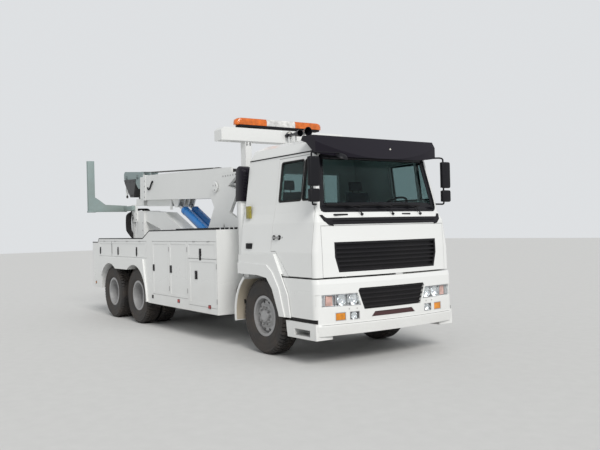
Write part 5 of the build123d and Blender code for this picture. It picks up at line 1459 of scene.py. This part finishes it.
@dataclass
class Underlift:
    """Hoses, pins, bolts and the parked fork at the truck's rear."""

    bar_x: float = -7.650
    arm_x: float = -7.480
    mast_face: float = 0.200

    def build(self) -> None:
        """Add the trim of the mast and the arm."""
        self.parked_fork()
        self.hoses()
        self.mast_parts()
        self.arm_parts()

    def parked_fork(self) -> None:
        """Long fork stowed on the mast's right side, upright at its end, with its bracket."""
        fork = Shape()
        outline = [(-1.142, 2.272), (-0.215, 2.272), (-0.215, 2.415), (-0.740, 2.440), (-0.900, 2.560),
                   (-0.985, 2.610), (-0.985, 3.455), (-1.142, 3.455)]
        fork.slab(outline, 0, self.bar_x - 0.045, self.bar_x + 0.045, 0.006)
        fork.block((self.bar_x - 0.055, -1.150, 2.262), (self.bar_x + 0.055, -0.965, 2.300), 0.006)
        fork.block((self.bar_x - 0.02, -0.300, 2.285), (-7.080, -0.205, 2.395), 0.006)
        fork.place("parked_fork", WORN_GREY)
        sheet = [(-7.300, 2.02), (-6.980, 2.02), (-6.980, 2.36), (-7.080, 2.42), (-7.300, 2.42)]
        Shape().slab(sheet, 1, -0.225, -0.198, 0.004).place("fork_bracket", WHITE)
        spots = [(x, -0.225, z) for x in (-7.26, -7.02) for z in (2.07, 2.20)]
        bolts(Shape(), spots, 0.012, (0, -1, 0)).place("fork_bolts", STEEL)

    def hoses(self) -> None:
        """Black hoses that come over the mast's top and down its right rear corner."""
        for i in range(5):
            y = -0.155 + 0.037 * i
            out = -0.232 - 0.026 * i
            route = [(-6.760, y, 2.255), (-6.780, y, 2.296), (-6.950, y, 2.312), (-7.200, y - 0.01, 2.312),
                     (-7.345, y - 0.05, 2.295), (-7.362, out + 0.02, 2.220), (-7.362, out, 2.080),
                     (-7.360, out, 1.900), (-7.335, out, 1.790), (-7.300, -0.195, 1.740 - 0.03 * i)]
            sweep(f"mast_hose_{i + 1}", route, 0.017, RUBBER)

    def mast_parts(self) -> None:
        """Pin caps and bolts of the mast."""
        caps, heads = Shape(), Shape()
        for x, y, z, r in ((-7.230, 0.224, 2.130, 0.042), (self.arm_x, 0.169, 0.580, 0.036)):
            caps.rod((x, y, z), (x, y + 0.012, z), r, sides=32, bevel=0.003)
        bolts(heads, [(-6.70, self.mast_face, 0.80 + 0.17 * i) for i in range(8)], 0.011)
        bolts(heads, [(-7.18, self.mast_face, 0.60 + 0.10 * i) for i in range(5)], 0.011)
        caps.mirrored().place("mast_pins", STEEL)
        heads.mirrored().place("mast_bolts", STEEL)

    def arm_parts(self) -> None:
        """Bands round the folding arm, and the pins and rims of the crossbar's sockets."""
        arm, pins, rims = Shape(), Shape(), Shape()
        for z in (0.75, 1.05, 1.36):
            arm.block((self.arm_x - 0.090, -0.134, z), (self.arm_x + 0.090, 0.134, z + 0.03))
        pins.rod((self.arm_x, 0.45, 1.590), (self.arm_x, 0.45, 1.640), 0.010, sides=12)
        pins.rod((self.arm_x, 0.41, 1.640), (self.arm_x, 0.49, 1.640), 0.008, sides=12)
        ring = [(0.046, -0.006), (0.066, -0.006), (0.066, 0.006), (0.046, 0.006)]
        rims.lathe(ring, (-7.588, 0.45, 1.535), (1, 0, 0), 36)
        arm.place("arm_bands", WHITE, "underlift_arm")
        pins.mirrored().place("socket_pins", STEEL, "underlift_extension")
        rims.mirrored().place("socket_rims", WORN_GREY, "underlift_extension")


# Front end


@dataclass
class BumperForm(CabForm):
    """Outside of the bumper, with its rounded corners."""

    sections: tuple[tuple[float, float, float, float], ...] = (
        (0.400, 1.495, 0.110, 1.220),
        (0.525, 1.512, 0.110, 1.220),
        (0.560, 1.500, 0.110, 1.220),
        (1.060, 1.497, 0.110, 1.220),
        (1.122, 1.480, 0.110, 1.220),
    )
    corner: float = 0.090

    def front(self, y: float, z: float, lift: float = 0.0) -> Vector:
        """Point on the bumper's front, round its corner too."""
        place = super().front(y, z, lift)
        over = abs(y) - (self.section(z)[2] - self.corner)
        if over > 0:
            place.x -= self.corner - math.sqrt(max(0.0, self.corner ** 2 - over ** 2))
        return place


@dataclass
class FrontEnd:
    """Headlamps, fog lamps, step treads and guard linings."""

    form: BumperForm = field(default_factory=BumperForm)
    lamp_low: float = 0.770
    lamp_high: float = 0.922
    lamp_inner: float = 0.560
    lamp_outer: float = 1.200
    lamp_slant: float = 0.046
    fog_low: float = 0.588
    fog_high: float = 0.687
    guard_radius: float = 0.6385

    def build(self) -> None:
        """Add all that sits in and on the bumper."""
        for side in Side:
            self.headlamp(side)
            self.fog_lamps(side)
        self.step_parts()
        self.guard_linings()
        self.bumper_marks()

    def patch(self, shape: Shape, side: Side, y0: float, y1: float, z0: float, z1: float, lift: float,
              depth: float, columns: int = 14, slant: float = 0.0) -> None:
        """Add a curved plate that follows the bumper's front.

        Args:
            shape: The mesh it goes into.
            side: The truck's side.
            y0: Its inner edge.
            y1: Its outer edge.
            z0: Its lower edge.
            z1: Its upper edge.
            lift: How far its face lies before the bumper's.
            depth: Its thickness.
            columns: Faces along it.
            slant: How far the inner edge's top lies further out.
        """
        rails = []
        for k in range(4):
            inner = y0 + slant * k / 3
            z = z0 + (z1 - z0) * k / 3
            rails.append([self.form.front(side.value * (inner + (y1 - inner) * i / columns), z, lift)
                          for i in range(columns + 1)])
        shape.strip(rails, Vector((-depth, 0, 0)))

    def headlamp(self, side: Side) -> None:
        """Bright bowls behind a clear lens, with the indicator at the outer end."""
        low, high = self.lamp_low, self.lamp_high
        middle = (low + high) / 2
        bowls, bezel, lens, indicator, cover = Shape(), Shape(), Shape(), Shape(), Shape()
        bowl = [(0, -0.050), (0.030, -0.046), (0.054, -0.030), (0.068, -0.006), (0.072, 0.0), (0.076, -0.004),
                (0.060, -0.034), (0.034, -0.054), (0, -0.058)]
        for y in (0.655, 0.835):
            face = self.form.front(side.value * y, middle, -0.020)
            bowls.lathe(bowl, face, (1, 0, 0), 40)
            bowls.rod(face + Vector((-0.050, 0, 0)), face + Vector((-0.012, 0, 0)), 0.016, sides=20,
                      end_radius=0.012, bevel=0.002)
        self.patch(bowls, side, self.lamp_inner, self.lamp_outer, low, high, -0.060, 0.004,
                   slant=self.lamp_slant)
        for y in (0.742, 0.925):
            face = self.form.front(side.value * y, middle, -0.012)
            bezel.block(face + Vector((-0.05, -0.008, -0.074)), face + Vector((0, 0.008, 0.074)), 0.003)
        for z, inner in ((low, self.lamp_inner), (high - 0.009, self.lamp_inner + 0.044)):
            self.patch(bezel, side, inner, self.lamp_outer, z, z + 0.009, -0.006, 0.05)
        self.patch(cover, side, 1.135, 1.206, low - 0.004, high + 0.004, 0.001, 0.03, 8)
        self.patch(indicator, side, 0.965, 1.060, low + 0.012, high - 0.012, -0.030, 0.02, 4)
        self.patch(bezel, side, 1.068, 1.140, low + 0.012, high - 0.012, -0.030, 0.02, 4)
        self.patch(lens, side, self.lamp_inner, self.lamp_outer, low, high, -0.002, 0.003,
                   slant=self.lamp_slant)
        for shape, name, finish in ((cover, "lamp_cover", WHITE), (bowls, "headlamp_bowls", REFLECTOR),
                                    (bezel, "headlamp_bezel", SATIN_SILVER),
                                    (indicator, "front_indicator", INDICATOR_PINK)):
            shape.place(f"{name}_{side.label}", finish)
        lens.place(f"headlamp_lens_{side.label}", LAMP_GLASS, replaces=["front_lamps"])

    def fog_lamps(self, side: Side) -> None:
        """Amber outer lamp and clear inner one below the headlamp."""
        low, high = self.fog_low, self.fog_high
        amber, bowl, lens, frame = Shape(), Shape(), Shape(), Shape()
        self.patch(amber, side, 0.800, 0.938, low + 0.006, high - 0.006, -0.004, 0.02, 4)
        face = self.form.front(side.value * 0.655, (low + high) / 2, -0.016)
        bowl.lathe([(0, -0.036), (0.024, -0.030), (0.040, -0.014), (0.047, 0.0), (0.050, -0.003),
                    (0.028, -0.036), (0, -0.042)], face, (1, 0, 0), 32)
        self.patch(bowl, side, 0.584, 0.728, low, high, -0.045, 0.004, 4)
        self.patch(lens, side, 0.586, 0.726, low + 0.004, high - 0.004, -0.003, 0.003, 4)
        for y0, y1 in ((0.580, 0.730), (0.790, 0.945)):
            for a, b, c, d in ((y0, y1, low - 0.003, low + 0.005), (y0, y1, high - 0.005, high + 0.003),
                               (y0, y0 + 0.008, low, high), (y1 - 0.008, y1, low, high)):
                self.patch(frame, side, a, b, c, d, -0.001, 0.03, 3)
        for shape, name, finish in ((amber, "amber", LAMP_AMBER), (bowl, "bowl", REFLECTOR),
                                    (lens, "lens", LAMP_GLASS), (frame, "frame", SATIN_SILVER)):
            shape.place(f"fog_{name}_{side.label}", finish)

    def step_parts(self) -> None:
        """Tread bars in the step boxes, and a dark block above them that is painted shade in the gap over
        each step box.
        """
        bars = Shape()
        for i in range(5):
            bars.block((0.905, 1.055 + 0.034 * i, 0.384), (1.245, 1.073 + 0.034 * i, 0.396))
        bars.mirrored().place("step_bars", STEEL)
        # Painted shade: a dark block set in the shaded gap between the ledge and each step box.
        Shape().block((0.745, 1.150, 0.561), (1.384, 1.196, 0.611)).mirrored().place("step_fillers", RUBBER)

    def guard_linings(self) -> None:
        """Tan lining on the wheel side of the guards behind the front wheels."""
        lining, slot = Shape(), Shape()
        rails = []
        for k in range(19):
            a = math.radians(127 + 62 * k / 18)
            x, z = self.guard_radius * math.cos(a), TYRE_RADIUS + self.guard_radius * math.sin(a)
            rails.append([Vector((x, y, z)) for y in (0.878, 0.96, 1.04, 1.12, 1.216)])
        lining.strip(rails, Vector((-0.001, 0, 0.0005)))
        a = math.radians(163)
        out = Vector((math.cos(a), 0, math.sin(a)))
        seat = Vector((0, 1.085, TYRE_RADIUS)) + out * (self.guard_radius - 0.001)
        slot.block(seat + Vector((-0.004, -0.016, -0.055)), seat + Vector((0.004, 0.016, 0.055)), 0.003,
                   turn=Matrix.Rotation(math.radians(-17), 4, "Y"))
        lining.mirrored().place("guard_linings", TAN_LINING)
        slot.mirrored().place("guard_slots", RUBBER)

    def bumper_marks(self) -> None:
        """Small screws below the lamps, the seam above the lower lip and the maroon cover in the slot."""
        heads, seam, cover = Shape(), Shape(), Shape()
        for side in Side:
            self.patch(cover, side, 0.0, 0.380, 0.602, 0.663, -0.014, 0.006, 10)
        cover.place("slot_cover", MAROON)
        for side in Side:
            for y in (0.62, 0.74):
                spot = self.form.front(side.value * y, 0.728, 0.0)
                heads.rod(spot, spot + Vector((0.004, 0, 0)), 0.008, sides=16, bevel=0.001)
            self.patch(seam, side, 0.0, 1.14, 0.5405, 0.5435, 0.0012, 0.003, 24)
        heads.place("bumper_screws", STEEL)
        seam.place("bumper_seam", SHADOW_SEAM)


@dataclass
class Interior:
    """Padded seats, dashboard and steering wheel behind the glass."""

    seat_y: float = 0.645
    seat_half: float = 0.222

    def build(self) -> None:
        """Build both seats and the dashboard."""
        for side in Side:
            self.seat(side)
        self.dashboard()
        self.steering()

    def pad(self, name: str, low: Point, high: Point, lean: float, channels: int, along: int) -> None:
        """One crowned cushion with sewn channels.

        Args:
            name: The piece's name.
            low: Its lowest corner.
            high: Its highest corner.
            lean: How far its top lies back from its foot.
            channels: Sewn channels on its face.
            along: The axis across which the channels repeat.
        """
        shape = Shape()
        lows, highs = Vector(low), Vector(high)
        size = highs - lows
        bmesh.ops.create_cube(shape.mesh, size=2.0)
        bmesh.ops.subdivide_edges(shape.mesh, edges=shape.mesh.edges[:], cuts=23, use_grid_fill=True)
        for vert in shape.mesh.verts:
            p = vert.co
            thin = 2 if size.z < size.x else 0
            others = [i for i in range(3) if i != thin]
            edge = max(abs(p[i]) for i in others)
            crown = 1.0 - 0.30 * edge ** 4
            seam = 0.5 + 0.5 * math.cos(math.pi * channels * (p[along] + 1.0)) if channels else 0.0
            dent = 0.10 * max(0.0, seam - 0.8) / 0.2 if abs(p[thin]) > 0.99 and edge < 0.93 else 0.0
            pull = 1.0 - 0.05 * (1.0 - p[others[0]] ** 2) * (abs(p[others[1]]) > 0.99)
            q = Vector(p)
            q[thin] *= crown - dent
            q[others[0]] *= 1.0 - 0.035 * (1.0 - p[others[1]] ** 2) * abs(p[others[0]]) ** 6
            q[others[1]] *= pull
            corner = max(0.0, abs(p[0]) + abs(p[1]) + abs(p[2]) - 2.35) / 0.65
            q *= 1.0 - 0.07 * corner
            vert.co = lows + Vector([(q[i] + 1) / 2 * size[i] for i in range(3)])
            vert.co.x -= lean * (vert.co.z - lows.z) / max(size.z, 1e-6)
        bmesh.ops.smooth_vert(shape.mesh, verts=shape.mesh.verts[:], factor=0.35, use_axis_x=True,
                              use_axis_y=True, use_axis_z=True)
        piece = shape.place(name, SEAT_CLOTH, "cab", sharp=60.0)

    def seat(self, side: Side) -> None:
        """Seat with cushion, back and head restraint on its frame."""
        middle = side.value * self.seat_y
        y0, y1 = middle - self.seat_half, middle + self.seat_half
        for name, low, high, lean, channels, along in (
                ("cushion", (0.03, y0, 1.570), (0.515, y1, 1.678), 0.0, 4, 1),
                ("back", (0.025, y0 + 0.005, 1.690), (0.145, y1 - 0.005, 2.325), 0.112, 5, 2),
                ("rest", (-0.085, middle - 0.12, 2.345), (-0.005, middle + 0.12, 2.490), 0.02, 0, 2)):
            first = "head" if name == "rest" else "seat"
            self.pad(f"{first}_{name}_{side.label}", low, high, lean, channels, along)
        base = Shape()
        base.block((0.06, y0 + 0.01, 1.335), (0.48, y1 - 0.01, 1.40), 0.008)
        base.block((0.10, y0 + 0.04, 1.40), (0.44, y1 - 0.04, 1.50), 0.012)
        base.block((0.03, y0, 1.50), (0.51, y1, 1.568), 0.012)
        for y in (middle - 0.06, middle + 0.06):
            base.rod((-0.045, y, 2.31), (-0.055, y, 2.37), 0.007, sides=12)
        base.place(f"seat_base_{side.label}", CABIN_GREY, "cab")

    def dashboard(self) -> None:
        """Dashboard with its hood, vents and glove box."""
        dash, vents, dials = Shape(), Shape(), Shape()
        body = [(0.985, 1.790), (1.140, 1.785), (1.140, 2.010), (1.060, 2.018), (0.985, 1.970)]
        hood = [(0.930, 1.930), (1.030, 1.930), (1.030, 2.040), (0.975, 2.052), (0.925, 2.025)]
        dash.slab(body, 1, -0.985, 0.985, 0.014)
        dash.slab(hood, 1, 0.380, 0.860, 0.014)
        for y in (-0.80, -0.30, 0.18):
            vents.block((0.978, y - 0.07, 1.900), (0.990, y + 0.07, 1.955), 0.004)
        vents.block((0.976, -0.72, 1.800), (0.990, -0.38, 1.880), 0.006)
        for y in (0.53, 0.71):
            dials.lathe([(0, 0), (0.040, 0), (0.043, 0.006), (0.046, 0.0), (0.046, -0.006), (0, -0.006)],
                        (0.924, y, 1.980), (-1, 0, 0), 32)
        dash.place("dashboard", CABIN_GREY, "cab", replaces=["cab_interior"])
        vents.place("dash_vents", BLACK_MOULDING, "cab")
        dials.place("dash_dials", BLACK_GLOSS, "cab")

    def steering(self) -> None:
        """Steering wheel with two spokes on its column."""
        axis = Vector((-0.6, 0, 0.8))
        centre = Vector((0.844, 0.620, 2.058))
        rim = Shape()
        ring = [(0.220 + 0.015 * math.cos(a), 0.015 * math.sin(a)) for a in
                (math.tau * i / 12 for i in range(12))]
        rim.lathe(ring, centre, axis, 48)
        for y in (-0.212, 0.212):
            rim.rod(centre - axis * 0.01, centre + Vector((0, y, 0)), 0.020, sides=12, end_radius=0.013)
        rim.lathe([(0, 0.012), (0.052, 0.004), (0.062, -0.012), (0.055, -0.04), (0, -0.04)], centre, axis, 32)
        rim.rod(centre - axis * 0.26, centre - axis * 0.03, 0.036, sides=24)
        rim.place("steering_wheel", BLACK_MOULDING, "cab")


@dataclass
class RoofParts:
    """Light bar, horns, intake, work lamps and roof trim."""

    bar_x: float = -1.125
    bar_y: float = -0.070
    bar_low: float = 3.405
    lamp_z: float = 3.300

    def build(self) -> None:
        """Add the light bar and what stands on the roof and the gantry."""
        self.light_bar()
        self.horns()
        self.roof_trim()
        self.intake()
        self.work_lamps()
        self.gantry_bolts()

    def light_bar(self) -> None:
        """Amber end domes and a clear middle over a dark base."""
        base, amber, clear, inside = Shape(), Shape(), Shape(), Shape()
        x, middle, low = self.bar_x, self.bar_y, self.bar_low
        foot = low + 0.036
        half = [(0.080, foot), (0.082, low + 0.10), (0.060, low + 0.142), (0.030, low + 0.149)]
        section = [(-0.080, foot)] + half + [(-a, z) for a, z in reversed(half[1:])]
        base.block((x - 0.083, middle - 0.77, low), (x + 0.083, middle + 0.77, low + 0.035), 0.010, 3)
        for y in (-0.57, 0.43):
            base.block((x - 0.055, y - 0.06, low - 0.024), (x + 0.055, y + 0.06, low + 0.002), 0.004)
        for s in (-1, 1):
            amber.loft([[Vector((x + a * k, middle + s * y, foot + (z - foot) * (0.25 + 0.75 * k)))
                         for a, z in section]
                        for y, k in ((0.280, 1.0), (0.40, 1.0), (0.60, 1.0), (0.73, 1.0), (0.78, 0.90),
                                     (0.815, 0.68), (0.832, 0.36))])
            for y in (0.38, 0.56, 0.72):
                spot = Vector((x, middle + s * y, low + 0.04))
                inside.rod(spot, spot + Vector((0, 0, 0.08)), 0.034, sides=20, end_radius=0.026, bevel=0.003)
        clear.loft([[Vector((x + a, middle + y, z)) for a, z in section]
                    for y in (-0.276, -0.09, 0.09, 0.276)])
        inside.block((x - 0.05, middle - 0.23, foot), (x + 0.05, middle + 0.23, low + 0.10), 0.010)
        for y in (middle - 0.12, middle, middle + 0.12):
            inside.block((x - 0.06, y - 0.004, foot), (x + 0.06, y + 0.004, low + 0.135), 0.001)
        base.place("bar_base", BLACK_MOULDING, replaces=["light_bar"])
        amber.place("bar_domes", BAR_AMBER)
        inside.place("bar_beacons", REFLECTOR)
        clear.place("bar_middle", BAR_CLEAR)

    def horns(self) -> None:
        """Two trumpets on the roof, their bells forward."""
        bell, stand = Shape(), Shape()
        for y, z, length, r in ((-0.70, 3.125, 0.42, 0.062), (-0.84, 3.095, 0.30, 0.045)):
            tip = Vector((0.60, y, z))
            bell.lathe([(0.010, -length), (0.014, -length * 0.6), (0.020, -0.14), (0.034, -0.06), (r, 0.0),
                        (r + 0.004, -0.004), (0.040, -0.066), (0.024, -0.14), (0.018, -length * 0.6),
                        (0.014, -length)], tip, (1, 0, 0), 32)
            back = tip - Vector((length, 0, 0))
            bell.rod(back - Vector((0.05, 0, 0)), back + Vector((0.01, 0, 0)), 0.030, sides=24, bevel=0.004)
            for x in (-length + 0.02, -0.12):
                stand.block(tip + Vector((x - 0.012, -0.010, -0.135)),
                            tip + Vector((x + 0.012, 0.010, -0.016)), 0.003)
        bell.place("roof_horns", BLACK_GLOSS, "cab")
        stand.place("horn_stands", WHITE, "cab")

    def roof_trim(self) -> None:
        """Roof hatch and marker lamps at the roof's front corners."""
        Shape().block((0.05, -0.30, 2.986), (0.60, 0.30, 3.010), 0.010, 3).place("roof_hatch", WHITE, "cab")
        markers = Shape()
        for y in (-0.78, 0.78):
            markers.block((0.60, y - 0.04, 2.975), (0.68, y + 0.04, 3.012), 0.008, 3)
        markers.place("roof_markers", LAMP_AMBER, "cab")

    def intake(self) -> None:
        """Dark rounded intake head on its white duct, behind the cab's right side."""
        head, louvres, duct = Shape(), Shape(), Shape()
        head.slab([(-0.800, 2.205), (-0.600, 2.205), (-0.562, 2.660), (-0.590, 2.715), (-0.660, 2.743),
                   (-0.735, 2.720), (-0.765, 2.670)], 1, -1.110, -0.930, 0.022)
        for i in range(9):
            z = 2.275 + 0.043 * i
            louvres.block((-0.765, -1.1095, z), (-0.600, -1.100, z + 0.016), 0.003)
            x = -0.604 + 0.088 * (z - 2.24)
            louvres.block((x, -1.090, z), (x + 0.010, -0.950, z + 0.016), 0.003)
        duct.block((-0.760, -1.090, 1.300), (-0.640, -0.950, 2.225), 0.018, 3)
        duct.block((-0.768, -1.098, 2.190), (-0.632, -0.942, 2.212), 0.004)
        duct.block((-0.760, -0.960, 1.300), (-0.640, -0.425, 1.420), 0.010)
        duct.block((-0.760, -0.545, 1.000), (-0.640, -0.425, 1.310), 0.010)
        head.place("intake_head", VISOR_BLACK, replaces=["air_intake"])
        louvres.place("intake_louvres", BLACK_MOULDING)
        duct.place("intake_duct", WHITE)

    def work_lamps(self) -> None:
        """Round work lamps on the gantry: two to the rear, one to the front."""
        shell, lens = Shape(), Shape()
        section = [(0, -0.055), (0.045, -0.045), (0.058, 0.0), (0.058, 0.012), (0.050, 0.012), (0.050, 0.004),
                   (0, 0.004)]
        z = self.lamp_z
        for y, way in ((-0.45, -1), (0.45, -1), (0.02, 1)):
            x = self.bar_x + way * 0.122
            shell.lathe(section, (x + way * 0.055, y, z), (way, 0, 0), 32)
            shell.block((x - 0.01, y - 0.012, z - 0.012), (x + way * 0.03, y + 0.012, z + 0.012), 0.002)
            lens.rod((x + way * 0.058, y, z), (x + way * 0.066, y, z), 0.049, sides=32, bevel=0.002)
        shell.place("work_lamps", BLACK_MOULDING)
        lens.place("work_lamp_lenses", LAMP_WHITE)

    def gantry_bolts(self) -> None:
        """Bolts that hold the beam to its posts."""
        spots = [(-1.020, y, z) for y in (0.685, 0.745) for z in (3.12, 3.15)]
        bolts(Shape(), spots, 0.011, (1, 0, 0)).mirrored().place("gantry_bolts", STEEL)


# Studio


@dataclass
class Camera:
    """The photograph's viewpoint."""

    place: Point = (FRONT_AXLE_X + 8.581, -6.403, 1.786)
    yaw: float = 34.664
    pitch: float = 0.229
    roll: float = -1.427
    lens: float = 42.28
    sensor: float = 36.0

    def build(self) -> None:
        """Set the camera up as the scene's own."""
        yaw, pitch, roll = (math.radians(a) for a in (self.yaw, self.pitch, self.roll))
        ahead = Vector((-math.cos(yaw) * math.cos(pitch), math.sin(yaw) * math.cos(pitch), math.sin(pitch)))
        level = ahead.cross(Vector((0, 0, 1))).normalized()
        up = level.cross(ahead)
        right = level * math.cos(roll) + up * math.sin(roll)
        upward = up * math.cos(roll) - level * math.sin(roll)
        data = bpy.data.cameras.new("camera")
        data.lens = self.lens
        data.sensor_width = self.sensor
        data.sensor_fit = "HORIZONTAL"
        data.clip_end = 200.0
        holder = bpy.data.objects.new("camera", data)
        turn = Matrix((right, upward, -ahead)).transposed().to_4x4()
        holder.matrix_world = Matrix.Translation(self.place) @ turn
        bpy.context.scene.collection.objects.link(holder)
        bpy.context.scene.camera = holder


@dataclass
class Studio:
    """Pale floor, soft lamps and pale surroundings."""

    floor_half: float = 60.0
    floor_colour: Colour = (0.62, 0.62, 0.61)
    sky_colour: Colour = (0.86, 0.88, 0.9)
    sky_strength: float = 0.66
    backdrop_strength: float = 0.85
    sun_strength: float = 2.1
    sun_spread: float = 24.0
    sun_from: Point = (7.0, -2.2, 6.0)

    def build(self) -> None:
        """Lay the floor and hang the lamps."""
        self.floor()
        self.surroundings()
        self.lamps()

    def floor(self) -> None:
        """Floor that keeps the truck's shadow."""
        shape = bmesh.new()
        bmesh.ops.create_grid(shape, x_segments=1, y_segments=1, size=self.floor_half)
        data = bpy.data.meshes.new("floor")
        shape.to_mesh(data)
        shape.free()
        made = bpy.data.materials.new("floor_matt")
        made.use_nodes = True
        made.node_tree.nodes.clear()
        tree = Tree(made.node_tree)
        tone = tree.ramp(tree.noise(6.0, 4.0, tree.place()), 0.3, 0.7, 0.0, 1.0)
        dark = tuple(c * 0.96 for c in self.floor_colour)
        colour = tree.mix(tone, (*dark, 1), (*self.floor_colour, 1))
        matt = tree.principled(Base_Color=colour, Roughness=0.9)
        tree.add("ShaderNodeOutputMaterial", {"Surface": matt.outputs[0]})
        data.materials.append(made)
        holder = bpy.data.objects.new("floor", data)
        bpy.context.scene.collection.objects.link(holder)

    def surroundings(self) -> None:
        """Even pale light from all round, and the same backdrop to camera, gloss and glass."""
        world = bpy.data.worlds.new("surroundings")
        bpy.context.scene.world = world
        world.use_nodes = True
        world.node_tree.nodes.clear()
        tree = Tree(world.node_tree)
        path = tree.add("ShaderNodeLightPath")
        seen = tree.math("MAXIMUM", path.outputs["Is Camera Ray"], path.outputs["Is Transmission Ray"])
        sky = (*self.sky_colour, 1)
        light = tree.add("ShaderNodeBackground", {"Color": sky, "Strength": self.sky_strength})
        pale = tree.add("ShaderNodeBackground", {"Color": sky, "Strength": self.backdrop_strength})
        both = tree.add("ShaderNodeMixShader", {0: seen, 1: light.outputs[0], 2: pale.outputs[0]})
        tree.add("ShaderNodeOutputWorld", {"Surface": both.outputs[0]})

    def lamps(self) -> None:
        """One broad soft lamp from ahead, as daylight falls in the photograph."""
        data = bpy.data.lights.new("daylight", "SUN")
        data.energy = self.sun_strength
        data.angle = math.radians(self.sun_spread)
        data.color = (1.0, 0.98, 0.95)
        holder = bpy.data.objects.new("daylight", data)
        holder.rotation_euler = Vector(self.sun_from).to_track_quat("Z", "Y").to_euler()
        bpy.context.scene.collection.objects.link(holder)


def dress_the_rest(frame: dict[str, Any]) -> None:
    """Finishes of the nodes that keep their shape as it is."""
    both = [f"{name}_{side.label}" for side in Side for name in (*LockerBody.lid_hinges, "side_body")]
    for finish, names in (
            (WHITE, (*both, "bumper", "tower", "light_gantry", "front_mudguards", "boom_outer", "boom_inner",
                     "underlift_mast", "underlift_arm", "underlift_crossbar")),
            (FLOOR_PLATE, ("deck",)),
            (FRAME_BLACK, ("chassis_frame", "axles", "knuckle_left", "knuckle_right")),
            (CASTING, ("powertrain",)),
            (HEAD_GREY, ("boom_head",)),
            (DRUM_BLACK, ("winches", "hook_block")),
            (RAM_BLUE, ("lift_barrels",)),
            (CHROME, ("lift_rods",)),
            (LAMP_GLASS, ("front_lamps",)),
            (LAMP_RED, ("rear_lamps",)),
            (BAR_AMBER, ("light_bar",)),
            (BLACK_MOULDING, ("lower_grille", "air_intake"))):
        dress(frame, finish, *names)


def main() -> None:
    """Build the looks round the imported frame, one sub-assembly after the other."""
    logging.basicConfig(level=logging.INFO, format="%(name)s: %(message)s")
    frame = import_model()
    bpy.context.scene.view_settings.view_transform = "Standard"
    Camera().build()
    Studio().build()
    dress_the_rest(frame)
    CabTrim().build(frame)
    Tyres().build()
    Wheels().build(frame)
    LockerBody().build()
    BoomTrim().build()
    Underlift().build()
    FrontEnd().build()
    Interior().build()
    RoofParts().build()


if __name__ == "__main__":
    main()
